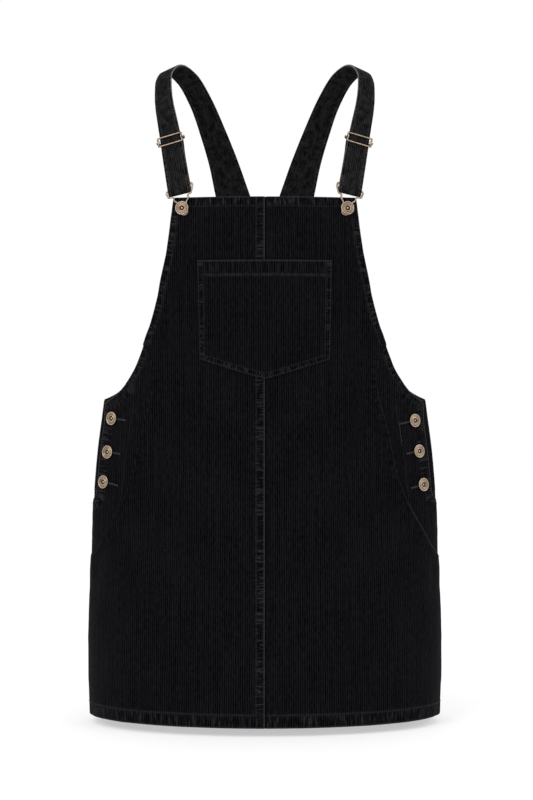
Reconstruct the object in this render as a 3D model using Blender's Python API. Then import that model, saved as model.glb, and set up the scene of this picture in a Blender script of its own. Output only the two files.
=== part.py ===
# Pinafore dress in fine corduroy, worn and hollow: bib front with a chest pocket, hip
# pockets, buttoned side openings, one back, and straps with sliders and wire buckles.
# Metres, +Z up. The front faces -Y and the origin is between the shoulders, under the
# straps' tops. Left and right are as seen from the front, so left is -X.

import math
from collections import namedtuple
from functools import lru_cache

import bmesh
import bpy
import numpy as np
from mathutils import Matrix, Vector

# Cloth
WALL = 0.0015                # one layer of corduroy
HEM_WALL = 0.0028            # a turned edge, two layers
STRAP_WALL = 0.0026          # a strap, folded and stitched flat
SEAM_GAP = 0.0003            # between pieces that are sewn edge to edge
LAYER_GAP = 0.0004           # between pieces that lie on each other

# Levels, measured down from the shoulders
BIB_TOP = -0.1750
BACK_TOP = -0.2100
FRONT_CORNER = -0.4288       # where the armhole meets the placket
BACK_CORNER = -0.4250
POCKET_START = -0.3562       # hip pocket's edge leaves the armhole
POCKET_END = -0.6260         # and meets the side seam
PLACKET_END = -0.5545
HEM = -0.8245
HEM_DEPTH = 0.016

# Side opening
PLACKET_SETBACK = 0.0050     # placket's edge, in front of the side
SIDE_SEAM_SETBACK = 0.0025   # side seam, behind the side
STAND_WIDTH = 0.034
HIP_UNDERLAP = 0.010         # side front under the hip pocket's edge
HIP_LIFT = 0.0021            # hip pocket's edge stands off the side front
HIP_LIFT_FADE = 0.014
STAND_DROP = 0.0023          # button stand, under the placket

# Back's armhole, from the strap to the side
BACK_TOP_HALF = 0.0540
BACK_SIDE_HALF = 0.2095
BACK_SCOOP = 1.35

# Chest pocket
CHEST_TOP = -0.2530
CHEST_CORNER = -0.3740
CHEST_POINT = -0.3983
CHEST_TOP_HALF = 0.0822
CHEST_LOW_HALF = 0.0804
CHEST_HEM = 0.018

# Buttons
BUTTON_RADIUS = 0.0085
NECK_RADIUS = 0.00175
SLOT_CLEARANCE = 0.00035
SLOT_LENGTH = 0.0215
NECK_STANDOFF = 0.0034       # underside of the head, off the cloth
BIB_BUTTON_HALF = 0.1008
BIB_BUTTON_LEVEL = -0.1886

# Wire hardware
WIRE_RADIUS = 0.0011
SLIDER_HALF_LENGTH = 0.0157
SLIDER_HALF_HEIGHT = 0.0056
SLIDER_LEVEL = -0.1010
KNOB_REACH = 0.0183
TURN_RADIUS = STRAP_WALL / 2 + SEAM_GAP + WIRE_RADIUS

# The form that the dress keeps. Each section is half an oval in front and half behind:
# half_width is its reach to the side, and pinch runs from 0.5, an ellipse, to 1, a lens.
Section = namedtuple("Section", "level half_width front_depth back_depth pinch")
SECTIONS = (
    Section(-0.8300, 0.2233, 0.1230, 0.1180, 0.50),
    Section(-0.7710, 0.2257, 0.1170, 0.1160, 0.53),
    Section(-0.6940, 0.2253, 0.1080, 0.1130, 0.58),
    Section(-0.6170, 0.2220, 0.0970, 0.1080, 0.68),
    Section(-0.5400, 0.2195, 0.0850, 0.0960, 0.80),
    Section(-0.4890, 0.2153, 0.0800, 0.0870, 0.85),
    Section(-0.4380, 0.2087, 0.0800, 0.0820, 0.85),
    Section(-0.4000, 0.2040, 0.0845, 0.0830, 0.80),
    Section(-0.3400, 0.2000, 0.0940, 0.0900, 0.66),
    Section(-0.2600, 0.2020, 0.1020, 0.0980, 0.55),
    Section(-0.1750, 0.2050, 0.1000, 0.0980, 0.50),
    Section(-0.1000, 0.2050, 0.0950, 0.0950, 0.50),
)

# Front's armhole edge
EdgePoint = namedtuple("EdgePoint", "level half")
ARMHOLE = (
    EdgePoint(-0.4288, 0.2046),
    EdgePoint(-0.4123, 0.1832),
    EdgePoint(-0.3997, 0.1735),
    EdgePoint(-0.3872, 0.1655),
    EdgePoint(-0.3627, 0.1548),
    EdgePoint(-0.3380, 0.1462),
    EdgePoint(-0.3013, 0.1353),
    EdgePoint(-0.2768, 0.1302),
    EdgePoint(-0.2400, 0.1223),
    EdgePoint(-0.2020, 0.1168),
    EdgePoint(-0.1750, 0.1132),
)

# Hip pocket's edge up to the armhole; below the first row it runs to the side seam
HIP_EDGE = (
    EdgePoint(-0.6063, 0.2095),
    EdgePoint(-0.5783, 0.1938),
    EdgePoint(-0.5525, 0.1790),
    EdgePoint(-0.5174, 0.1662),
    EdgePoint(-0.4686, 0.1560),
    EdgePoint(-0.4312, 0.1454),
    EdgePoint(-0.4051, 0.1400),
    EdgePoint(-0.3902, 0.1400),
    EdgePoint(-0.3727, 0.1430),
    EdgePoint(-0.3562, 0.1523),
)

# Side buttons: inset is along the cloth, from the placket's edge
SideButton = namedtuple("SideButton", "side number level inset")
SIDE_BUTTONS = (
    SideButton("left", 1, -0.4485, 0.0178),
    SideButton("left", 2, -0.4912, 0.0182),
    SideButton("left", 3, -0.5292, 0.0170),
    SideButton("right", 1, -0.4511, 0.0236),
    SideButton("right", 2, -0.4900, 0.0230),
    SideButton("right", 3, -0.5324, 0.0223),
)

# Left strap's middle line, from the back seam over the shoulder to the buckle's bar.
# turn swings its inner edge forward and rise lifts it, both in degrees.
StrapRow = namedtuple("StrapRow", "x y z width turn rise")
STRAP_ROWS = (
    StrapRow(-0.0271, 0.0965, -0.2097, 0.0532, -3, 0),
    StrapRow(-0.0450, 0.0965, -0.1454, 0.0440, -4, 8),
    StrapRow(-0.0547, 0.0915, -0.1116, 0.0385, -3, 15),
    StrapRow(-0.0690, 0.0760, -0.0712, 0.0335, 0, 20),
    StrapRow(-0.0850, 0.0520, -0.0340, 0.0295, 8, 25),
    StrapRow(-0.1010, 0.0270, -0.0105, 0.0285, 17, 26),
    StrapRow(-0.1175, 0.0000, -0.0030, 0.0285, 27, 25),
    StrapRow(-0.1270, -0.0270, -0.0170, 0.0285, 38, 24),
    StrapRow(-0.1268, -0.0480, -0.0470, 0.0285, 36, 18),
    StrapRow(-0.1185, -0.0700, -0.0917, 0.0285, 24, 13),
    StrapRow(-0.1108, -0.0850, -0.1330, 0.0285, 14, 12),
    StrapRow(-0.1040, -0.0920, -0.1655, 0.0260, 8, 13),
)

# Under-layer of the strap, from the bar up to its end behind the slider: spacing is
# between the middles of the two layers.
ReturnRow = namedtuple("ReturnRow", "rise spacing")
RETURN_ROWS = (
    ReturnRow(0.000, 2 * TURN_RADIUS),
    ReturnRow(0.012, 0.0036),
    ReturnRow(0.050, 0.0036),
    ReturnRow(0.063, 0.0056),
    ReturnRow(0.076, 0.0056),
)

# Buckle's wire, one half, from the bar's middle to the slot's bottom, in metres across
# and down from the bar's middle. forward goes from 0 at the bar to 1 at the button.
WireRow = namedtuple("WireRow", "across down forward")
BUCKLE_WIRE = (
    WireRow(0.0000, 0.0000, 0.0),
    WireRow(0.0080, 0.0000, 0.0),
    WireRow(0.0132, 0.0000, 0.0),
    WireRow(0.0162, -0.0014, 0.0),
    WireRow(0.0186, -0.0004, 0.0),
    WireRow(0.0192, 0.0022, 0.0),
    WireRow(0.0176, 0.0046, 0.0),
    WireRow(0.0142, 0.0057, 0.1),
    WireRow(0.0108, 0.0059, 0.1),
    WireRow(0.0090, 0.0074, 0.3),
    WireRow(0.0094, 0.0100, 0.6),
    WireRow(0.0084, 0.0122, 0.8),
    WireRow(0.0060, 0.0148, 1.0),
    WireRow(0.0047, 0.0180, 1.0),
    WireRow(0.0046, 0.0265, 1.0),
    WireRow(0.0033, 0.0299, 1.0),
    WireRow(0.0000, 0.0312, 1.0),
)
SLOT_SLACK = 0.0011          # the neck sits this far to the slot's outer side

# Turned profiles, radius and height off the cloth
TurnRow = namedtuple("TurnRow", "radius height")
BUTTON_PROFILE = (
    TurnRow(0.0, 0.0),
    TurnRow(NECK_RADIUS, 0.0),
    TurnRow(NECK_RADIUS, NECK_STANDOFF),
    TurnRow(0.0078, NECK_STANDOFF + 0.0001),
    TurnRow(BUTTON_RADIUS, NECK_STANDOFF + 0.0008),
    TurnRow(0.0080, NECK_STANDOFF + 0.0017),
    TurnRow(0.0062, NECK_STANDOFF + 0.0013),
    TurnRow(0.0045, NECK_STANDOFF + 0.0018),
    TurnRow(0.0024, NECK_STANDOFF + 0.0013),
    TurnRow(0.0, NECK_STANDOFF + 0.0010),
)
TACK_PROFILE = (
    TurnRow(0.0, 0.0),
    TurnRow(0.0048, 0.0),
    TurnRow(0.0044, 0.0009),
    TurnRow(0.0, 0.0014),
)

Finish = namedtuple("Finish", "color roughness metallic")
CORDUROY = Finish((0.0060, 0.0060, 0.0072, 1.0), 0.95, 0.0)
BRONZE = Finish((0.290, 0.215, 0.165, 1.0), 0.38, 1.0)


class SmoothTable:
    """Columns of a short table, read between its rows along one smooth curve."""

    def __init__(self, rows, key):
        rows = sorted(rows, key=lambda row: getattr(row, key))
        self.keys = np.array([getattr(row, key) for row in rows])
        self.columns = {}
        self.slopes = {}
        for name in rows[0]._fields:
            if isinstance(getattr(rows[0], name), str):
                continue
            values = np.array([getattr(row, name) for row in rows])
            self.columns[name] = values
            self.slopes[name] = np.gradient(values, self.keys)

    def at(self, name, key):
        key = min(max(key, self.keys[0]), self.keys[-1])
        low = int(min(np.searchsorted(self.keys, key, side="right") - 1, len(self.keys) - 2))
        step = self.keys[low + 1] - self.keys[low]
        t = (key - self.keys[low]) / step
        values = self.columns[name]
        slopes = self.slopes[name]
        return float(
            values[low] * (2 * t**3 - 3 * t**2 + 1)
            + values[low + 1] * (3 * t**2 - 2 * t**3)
            + slopes[low] * step * (t**3 - 2 * t**2 + t)
            + slopes[low + 1] * step * (t**3 - t**2)
        )


FORM = SmoothTable(SECTIONS, "level")
ARMHOLE_EDGE = SmoothTable(ARMHOLE, "level")
HIP_POCKET_EDGE = SmoothTable(HIP_EDGE, "level")


def fade(value):
    """1 at 0 and below, 0 at 1 and above, smooth between."""
    value = min(max(value, 0.0), 1.0)
    return 1.0 - value * value * (3.0 - 2.0 * value)


# The form: every point is a level and a reach along the cloth from the centre front

@lru_cache(maxsize=None)
def ring(level):
    """Half a section from the centre front round the right side to the centre back."""
    angle = np.linspace(0.0, math.pi, 721)
    pinch = FORM.at("pinch", level)
    depth = np.where(angle < math.pi / 2, -FORM.at("front_depth", level), FORM.at("back_depth", level))
    x = FORM.at("half_width", level) * np.sin(angle)
    y = depth * np.abs(np.cos(angle)) ** (2 * pinch)
    reach = np.concatenate(([0.0], np.cumsum(np.hypot(np.diff(x), np.diff(y)))))
    return angle, x, y, reach


def side_reach(level):
    angle, _, _, reach = ring(level)
    return float(np.interp(math.pi / 2, angle, reach))


def back_reach(level):
    return float(ring(level)[3][-1])


def front_reach_at(level, half):
    angle, _, _, reach = ring(level)
    ratio = min(half / FORM.at("half_width", level), 1.0)
    return float(np.interp(math.asin(ratio), angle, reach))


def reach_behind_at(level, half):
    angle, _, _, reach = ring(level)
    ratio = min(half / FORM.at("half_width", level), 1.0)
    return float(np.interp(math.pi - math.asin(ratio), angle, reach))


def form_point(level, reach):
    _, x, y, along = ring(level)
    sign = -1.0 if reach < 0 else 1.0
    reach = abs(reach)
    if reach > along[-1]:
        sign = -sign
        reach = 2 * along[-1] - reach
    return Vector((sign * float(np.interp(reach, along, x)), float(np.interp(reach, along, y)), level))


def form_normal(level, reach):
    across = form_point(level, reach + 0.003) - form_point(level, reach - 0.003)
    share = reach / side_reach(level)
    high, low = level + 0.006, level - 0.006
    along = form_point(high, share * side_reach(high)) - form_point(low, share * side_reach(low))
    return across.cross(along).normalized()


def cloth_point(level, reach, lift):
    return form_point(level, reach) + form_normal(level, reach) * lift


# Edges of the pieces, as a reach for each level

def placket_reach(level):
    return side_reach(level) - PLACKET_SETBACK


def seam_reach(level):
    return side_reach(level) + SIDE_SEAM_SETBACK


def hip_reach(level):
    low = HIP_EDGE[0]
    if level >= low.level:
        return front_reach_at(level, HIP_POCKET_EDGE.at("half", level))
    start = front_reach_at(low.level, low.half)
    share = (low.level - level) / (low.level - POCKET_END)
    return start + (seam_reach(level) - SEAM_GAP - start) * share


def front_edge_reach(level):
    if level >= POCKET_START:
        return front_reach_at(level, ARMHOLE_EDGE.at("half", level))
    if level > POCKET_END:
        return hip_reach(level)
    return seam_reach(level) - SEAM_GAP


def side_front_edge_reach(level):
    if level >= FRONT_CORNER:
        return front_reach_at(level, ARMHOLE_EDGE.at("half", level))
    if level > PLACKET_END - 0.0005:
        return placket_reach(level)
    return seam_reach(level) - SEAM_GAP


def side_front_inner_reach(level):
    if level > POCKET_START:
        return side_front_edge_reach(level) - HIP_UNDERLAP
    return hip_reach(level) - HIP_UNDERLAP


def back_edge_reach(level):
    """How far the back goes from the centre back to its side edge."""
    if level > BACK_CORNER:
        drop = (BACK_TOP - level) / (BACK_TOP - BACK_CORNER)
        across = (1 - min(drop, 1.0) ** BACK_SCOOP) ** (1 / BACK_SCOOP)
        half = BACK_SIDE_HALF - (BACK_SIDE_HALF - BACK_TOP_HALF) * across
        return back_reach(level) - max(reach_behind_at(level, half), seam_reach(level))
    return back_reach(level) - seam_reach(level)


def hip_lift(level, reach):
    """The front stands off the side front along the hip pocket's edge."""
    if level > POCKET_START:
        edge = front_edge_reach(level)
        beyond = max(level - POCKET_START - HIP_UNDERLAP - 0.001, 0.0)
    else:
        nearest = max(level, POCKET_END)
        edge = hip_reach(nearest)
        beyond = nearest - level
    inside = max(edge - HIP_UNDERLAP - 0.001 - reach, 0.0)
    return HIP_LIFT * fade(math.hypot(inside, beyond) / HIP_LIFT_FADE)


def wall_at(level):
    """Wall of the fronts and the back, doubled in the hem."""
    return HEM_WALL if level < HEM + HEM_DEPTH + 0.0001 else WALL


# Making the solids

def spread(start, end, step):
    """Even stops from start to end, end left out."""
    count = max(1, math.ceil(abs(end - start) / step - 0.001))
    return [start + (end - start) * i / count for i in range(count)]


def stops(*marks):
    """Stops through marks of (value, step): each step holds up to the next mark."""
    result = []
    for (start, step), (end, _) in zip(marks, marks[1:]):
        result += spread(start, end, step)
    return result + [marks[-1][0]]


def new_material(name, finish):
    material = bpy.data.materials.new(name)
    material.use_nodes = True
    shader = material.node_tree.nodes["Principled BSDF"]
    shader.inputs["Base Color"].default_value = finish.color
    shader.inputs["Roughness"].default_value = finish.roughness
    shader.inputs["Metallic"].default_value = finish.metallic
    material.diffuse_color = finish.color
    return material


def add_object(name, shape, finish, smooth_angle):
    """Turn a closed bmesh into an object with its own material, faces out."""
    bmesh.ops.recalc_face_normals(shape, faces=shape.faces[:])
    if shape.calc_volume(signed=True) < 0:
        bmesh.ops.reverse_faces(shape, faces=shape.faces[:])
    mesh = bpy.data.meshes.new(name)
    shape.to_mesh(mesh)
    shape.free()
    mesh.shade_smooth()
    mesh.set_sharp_from_angle(angle=math.radians(smooth_angle))
    mesh.materials.append(new_material(name, finish))
    piece = bpy.data.objects.new(name, mesh)
    bpy.context.scene.collection.objects.link(piece)
    return piece


def add_wall(name, columns, rows, place, holes=()):
    """Closed wall of cloth: a flat grid, thickened, and every corner put in its place."""
    shape = bmesh.new()
    bmesh.ops.create_grid(shape, x_segments=columns, y_segments=rows, size=0.5)
    if holes:
        cut = [face for face in shape.faces if grid_cell(face, columns, rows) in holes]
        bmesh.ops.delete(shape, geom=cut, context="FACES")
    raised = bmesh.ops.extrude_face_region(shape, geom=shape.faces[:])["geom"]
    corners = [item for item in raised if isinstance(item, bmesh.types.BMVert)]
    bmesh.ops.translate(shape, verts=corners, vec=(0.0, 0.0, 1.0))
    for corner in shape.verts:
        column = round((corner.co.x + 0.5) * columns)
        row = round((corner.co.y + 0.5) * rows)
        corner.co = place(column, row, corner.co.z > 0.5)
    return add_object(name, shape, CORDUROY, 40)


def grid_cell(face, columns, rows):
    middle = face.calc_center_median()
    return math.floor((middle.x + 0.5) * columns), math.floor((middle.y + 0.5) * rows)


def mirror_factor(side):
    return -1.0 if side == "left" else 1.0


def front_distances(level):
    """Distances in from a front's side edge: the first ones match the side front's."""
    width = front_edge_reach(level) - SEAM_GAP / 2
    stretch = 2 - fade((POCKET_END - level) / 0.06)
    near = [distance * stretch for distance in (0.0, 0.0055, HIP_UNDERLAP, 0.019, 0.031)]
    return near + spread(near[-1], width, (width - near[-1]) / 7)[1:] + [width]


def make_front(side):
    levels = stops((HEM, 0.016), (HEM + HEM_DEPTH, 0.003), (HEM + HEM_DEPTH + 0.003, 0.033),
                   (POCKET_END, 0.010), (HIP_EDGE[0].level, 0.018), (-0.5525, 0.022),
                   (-0.4686, 0.020), (-0.3902, 0.017), (POCKET_START, 0.012),
                   (POCKET_START + HIP_UNDERLAP + 0.001, 0.024), (BIB_TOP, 0.011))
    columns = len(front_distances(HEM)) - 1

    def place(column, row, outer):
        level = levels[row]
        reach = front_edge_reach(level) - front_distances(level)[column]
        lift = hip_lift(level, reach) - (0.0 if outer else wall_at(level))
        point = cloth_point(level, reach, lift)
        point.x *= mirror_factor(side)
        return point

    return add_wall("front_" + side, columns, len(levels) - 1, place)


def make_side_front(side):
    buttons = [button for button in SIDE_BUTTONS if button.side == side]
    inset_at = SmoothTable(buttons, "level")
    slot_half = NECK_RADIUS + SLOT_CLEARANCE
    marks = [(POCKET_START + 0.010, 0.020), (POCKET_START, 0.012), (FRONT_CORNER, 0.012)]
    for button in buttons:
        marks += [(button.level + slot_half, 0.01), (button.level - slot_half, 0.020)]
    marks += [(PLACKET_END, 0.003), (PLACKET_END - 0.003, 0.018), (HIP_EDGE[0].level, 0.015),
              (POCKET_END + 0.012, 0.015)]
    levels = stops(*marks)
    columns = 7
    neck_column = 1

    def distances(level):
        """Distances in from the outer edge, with a column to each side of the neck."""
        inset = inset_at.at("inset", level)
        near = [0.0, inset - slot_half, inset + slot_half, inset + 0.010, inset + SLOT_LENGTH]
        width = side_front_edge_reach(level) - side_front_inner_reach(level)
        seen = width - HIP_UNDERLAP
        if seen < near[-1] + 0.004:
            fit = max(seen, 0.003) * 0.9 / near[-1]
            near = [distance * fit for distance in near]
        return near + [max(seen, near[-1] * 1.1), width - 0.0045, width]

    def place(column, row, outer):
        level = levels[row]
        reach = side_front_edge_reach(level) - distances(level)[column]
        point = cloth_point(level, reach, 0.0 if outer else -WALL)
        point.x *= mirror_factor(side)
        return point

    holes = set()
    for button in buttons:
        row = levels.index(button.level + slot_half)
        holes |= {(column, row) for column in range(neck_column, neck_column + 3)}
    return add_wall("side_front_" + side, columns, len(levels) - 1, place, holes)


def stand_drop(level, reach):
    """The button stand lies under the placket, and meets the back at the side seam."""
    under = side_reach(level) - reach
    return -STAND_DROP * (1 - fade(under / PLACKET_SETBACK))


def make_stand(side):
    levels = stops((BACK_CORNER, 0.014), (PLACKET_END + 0.003, 0.014))

    def reaches(level):
        edge = placket_reach(level)
        inner = edge - STAND_WIDTH
        return (inner, inner + 0.011, inner + 0.022, edge - 0.002, edge + 0.0004,
                side_reach(level), seam_reach(level) - SEAM_GAP)

    def place(column, row, outer):
        level = levels[row]
        reach = reaches(level)[column]
        point = cloth_point(level, reach, stand_drop(level, reach) - (0.0 if outer else WALL))
        point.x *= mirror_factor(side)
        return point

    return add_wall("button_stand_" + side, 6, len(levels) - 1, place)


def make_back():
    levels = stops((HEM, 0.016), (HEM + HEM_DEPTH, 0.003), (HEM + HEM_DEPTH + 0.003, 0.036),
                   (PLACKET_END, 0.026), (BACK_CORNER, 0.0070), (-0.4040, 0.012),
                   (-0.3560, 0.020), (-0.2900, 0.027), (BACK_TOP, 0.011))
    columns = 22

    def place(column, row, outer):
        level = levels[row]
        share = 2 * column / columns - 1
        share = 0.75 * share + 0.25 * math.sin(share * math.pi / 2)
        reach = back_reach(level) + share * back_edge_reach(level)
        return cloth_point(level, reach, 0.0 if outer else -wall_at(level))

    return add_wall("back", columns, len(levels) - 1, place)


def make_chest_pocket():
    """Patch pocket with a pointed lower edge, on the fronts' points moved out."""
    columns, rows = 12, 8
    hem_row = 1

    def place(column, row, outer):
        across = 2 * column / columns - 1
        if row <= hem_row:
            down = CHEST_HEM * row / hem_row
            level = CHEST_TOP - down
        else:
            foot = CHEST_CORNER + (CHEST_POINT - CHEST_CORNER) * (1 - abs(across) ** 1.12)
            share = (row - hem_row) / (rows - hem_row)
            level = CHEST_TOP - CHEST_HEM + (foot - CHEST_TOP + CHEST_HEM) * share
        drop = (CHEST_TOP - level) / (CHEST_TOP - CHEST_CORNER)
        half = CHEST_TOP_HALF + (CHEST_LOW_HALF - CHEST_TOP_HALF) * min(drop, 1.0)
        side = math.copysign(1.0, across)
        reach = side * front_reach_at(level, abs(across) * half)
        thick = WALL + (0.0007 if row <= hem_row else 0.0)
        return cloth_point(level, reach, LAYER_GAP + (thick if outer else 0.0))

    return add_wall("chest_pocket", columns, rows, place)


# Straps and their hardware: a frame is a middle, an inward, a downward and an outward

Frame = namedtuple("Frame", "middle width inward along outward")


def strap_route(step=0.011):
    """Frames of the left strap, from the back seam to the buckle's bar."""
    rows = STRAP_ROWS
    knots = [Vector((row.x, row.y, row.z)) for row in rows]
    travel = np.concatenate(([0.0], np.cumsum([(b - a).length for a, b in zip(knots, knots[1:])])))
    Knot = namedtuple("Knot", ("travel",) + StrapRow._fields)
    table = SmoothTable([Knot(float(t), *row) for t, row in zip(travel, rows)], "travel")

    def middle(t):
        return Vector([table.at(name, t) for name in ("x", "y", "z")])

    count = math.ceil(travel[-1] / step)
    frames = []
    for i in range(count + 1):
        t = float(travel[-1]) * i / count
        turn = math.radians(table.at("turn", t))
        rise = math.radians(table.at("rise", t))
        inward = Vector((math.cos(rise) * math.cos(turn), -math.cos(rise) * math.sin(turn), math.sin(rise)))
        along = (middle(t + 0.002) - middle(t - 0.002)).normalized()
        outward = along.cross(inward).normalized()
        frames.append(Frame(middle(t), table.at("width", t), inward, along, outward))
    return frames


def strap_return(route):
    """Frames of the turn round the bar and of the layer that goes back up."""
    bar = route[-1]
    pivot = bar.middle - bar.outward * TURN_RADIUS
    frames = []
    turn_steps = 6
    for i in range(1, turn_steps):
        angle = math.pi * i / turn_steps
        outward = bar.outward * math.cos(angle) + bar.along * math.sin(angle)
        along = bar.along * math.cos(angle) - bar.outward * math.sin(angle)
        frames.append(Frame(pivot + outward * TURN_RADIUS, bar.width, bar.inward, along, outward))
    spacing = SmoothTable(RETURN_ROWS, "rise")
    rise = 0.0
    previous = bar.middle
    for frame in reversed(route):
        rise += (frame.middle - previous).length
        previous = frame.middle
        if rise > RETURN_ROWS[-1].rise:
            break
        middle = frame.middle - frame.outward * spacing.at("spacing", rise)
        width = min(frame.width, bar.width)
        frames.append(Frame(middle, width, frame.inward, -frame.along, -frame.outward))
    return frames


def frame_at_level(route, level):
    front = [frame for frame in route if frame.middle.y < -0.02]
    for upper, lower in zip(front, front[1:]):
        if upper.middle.z >= level >= lower.middle.z:
            share = (upper.middle.z - level) / (upper.middle.z - lower.middle.z)
            return Frame(
                upper.middle.lerp(lower.middle, share), upper.width,
                upper.inward.lerp(lower.inward, share).normalized(),
                upper.along.lerp(lower.along, share).normalized(),
                upper.outward.lerp(lower.outward, share).normalized())
    raise ValueError("no strap frame at that level")


def make_strap(side, route):
    frames = route + strap_return(route)
    columns = 2

    def place(column, row, outer):
        frame = frames[row]
        offset = (column / columns - 0.5) * frame.width
        point = frame.middle + frame.inward * offset
        point += frame.outward * (STRAP_WALL / 2 if outer else -STRAP_WALL / 2)
        point.x *= -mirror_factor(side)
        return point

    return add_wall("strap_" + side, columns, len(frames) - 1, place)


def smooth_points(points, closed, parts):
    """Catmull-Rom points through a short list, with parts steps between neighbours."""
    result = []
    count = len(points)
    spans = count if closed else count - 1
    for i in range(spans):
        before = points[(i - 1) % count] if closed or i else points[0]
        start, end = points[i], points[(i + 1) % count]
        after = points[(i + 2) % count] if closed or i + 2 < count else points[-1]
        for k in range(parts):
            t = k / parts
            result.append(0.5 * (2 * start + (end - before) * t
                                 + (2 * before - 5 * start + 4 * end - after) * t**2
                                 + (3 * start - before - 3 * end + after) * t**3))
    return result if closed else result + [points[-1]]


def add_wire(name, side, points, closed, knob=0.0):
    """Round wire along points; an open one may end in knobs."""
    curve = bpy.data.curves.new(name, "CURVE")
    curve.dimensions = "3D"
    curve.bevel_depth = WIRE_RADIUS
    curve.bevel_resolution = 1
    curve.use_fill_caps = not closed
    spline = curve.splines.new("POLY")
    spline.points.add(len(points) - 1)
    for slot, point in zip(spline.points, points):
        slot.co = (point.x * -mirror_factor(side), point.y, point.z, 1.0)
    if knob:
        for slot, size in zip(spline.points, (0.5, 1.25, 1.3)):
            slot.radius = size
        for slot, size in zip(reversed(spline.points), (0.5, 1.25, 1.3)):
            slot.radius = size
    spline.use_cyclic_u = closed
    wire = bpy.data.objects.new(name, curve)
    bpy.context.scene.collection.objects.link(wire)
    wire.data.materials.append(new_material(name, BRONZE))
    return wire


def make_slider(side, route):
    """Frame in front of the strap, pinched where the bar behind it comes round."""
    frame = frame_at_level(route, SLIDER_LEVEL)
    level_out = STRAP_WALL / 2 + LAYER_GAP + WIRE_RADIUS
    length, height = SLIDER_HALF_LENGTH, SLIDER_HALF_HEIGHT

    def spot(across, down, out):
        return frame.middle + frame.inward * across + frame.along * down + frame.outward * out

    corner = ((length - 0.0026, -height), (length - 0.0006, -height + 0.0008), (length + 0.0002, -0.0030),
              (length - 0.0010, 0.0), (length + 0.0002, 0.0030), (length - 0.0006, height - 0.0008),
              (length - 0.0026, height))
    outline = list(corner) + [(-across, -down) for across, down in corner]
    points = smooth_points([spot(across, down, level_out) for across, down in outline], True, 3)
    add_wire("slider_frame_" + side, side, points, True)

    reach = KNOB_REACH
    half = ((reach, 0.0014), (reach - 0.0006, 0.0012), (reach - 0.0012, 0.0004),
            (reach - 0.0016, -0.0014), (reach - 0.0031, -0.0028), (reach - 0.0070, -level_out))
    ends = [spot(across, 0.0, out) for across, out in half]
    other = [spot(-across, 0.0, out) for across, out in reversed(half)]
    add_wire("slider_bar_" + side, side, smooth_points(ends + other, False, 1), False, knob=1.0)


def button_seat(level, reach, lift):
    """Place and turn a turned piece so that it stands on the cloth."""
    normal = form_normal(level, reach)
    across = Vector((0.0, 0.0, 1.0)).cross(normal).normalized()
    return Matrix.Translation(cloth_point(level, reach, lift)) @ Matrix(
        (across, normal.cross(across), normal)).transposed().to_4x4()


def add_turned(name, profile, seat, segments):
    shape = bmesh.new()
    corners = [shape.verts.new((row.radius, 0.0, row.height)) for row in profile]
    edges = [shape.edges.new(pair) for pair in zip(corners, corners[1:])]
    bmesh.ops.spin(shape, geom=corners + edges, axis=(0, 0, 1), cent=(0, 0, 0),
                   angle=2 * math.pi, steps=segments, use_merge=True)
    bmesh.ops.remove_doubles(shape, verts=shape.verts[:], dist=0.00002)
    bmesh.ops.transform(shape, matrix=seat, verts=shape.verts[:])
    return add_object(name, shape, BRONZE, 50)


def make_button(name, side, level, reach, lift):
    """Button in front of the cloth and its tack behind."""
    reach *= mirror_factor(side)
    add_turned(name, BUTTON_PROFILE, button_seat(level, reach, lift + SEAM_GAP), 14)
    flip = Matrix.Rotation(math.pi, 4, "X")
    tack_seat = button_seat(level, reach, lift - wall_at(level) - SEAM_GAP) @ flip
    add_turned(name.replace("button", "tack"), TACK_PROFILE, tack_seat, 12)


def make_buckle(side, route):
    """Bent wire from the bar inside the strap's fold to the slot round the button's neck."""
    frame = route[-1]
    bar = frame.middle - frame.outward * TURN_RADIUS
    reach = -front_reach_at(BIB_BUTTON_LEVEL, BIB_BUTTON_HALF)
    neck = cloth_point(BIB_BUTTON_LEVEL, reach, NECK_STANDOFF / 2 + SEAM_GAP)
    normal = form_normal(BIB_BUTTON_LEVEL, reach)
    down = (frame.along - normal * frame.along.dot(normal)).normalized()
    across = normal.cross(down)
    neck_down = (neck - bar).dot(frame.along)

    def spot(row, half):
        at_bar = bar + frame.inward * (half * row.across) + frame.along * row.down
        at_neck = neck + across * (half * row.across + SLOT_SLACK) + down * (row.down - neck_down)
        return at_bar.lerp(at_neck, row.forward)

    half = [spot(row, 1.0) for row in BUCKLE_WIRE]
    other = [spot(row, -1.0) for row in reversed(BUCKLE_WIRE[1:-1])]
    add_wire("buckle_" + side, side, smooth_points(half + other, True, 2), True)


def main():
    for item in list(bpy.data.objects):
        bpy.data.objects.remove(item, do_unlink=True)
    make_back()
    make_chest_pocket()
    route = strap_route()
    for side in ("left", "right"):
        make_front(side)
        make_side_front(side)
        make_stand(side)
        make_strap(side, route)
        make_slider(side, route)
        make_buckle(side, route)
        make_button("bib_button_" + side, side, BIB_BUTTON_LEVEL,
                    front_reach_at(BIB_BUTTON_LEVEL, BIB_BUTTON_HALF), 0.0)
    for button in SIDE_BUTTONS:
        name = "side_button_" + button.side + "_" + str(button.number)
        reach = placket_reach(button.level) - button.inset
        make_button(name, button.side, button.level, reach, -STAND_DROP)


main()
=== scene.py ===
import math
import re
from functools import lru_cache

import bmesh
import bpy
import numpy as np
from mathutils import Matrix, Vector


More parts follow.
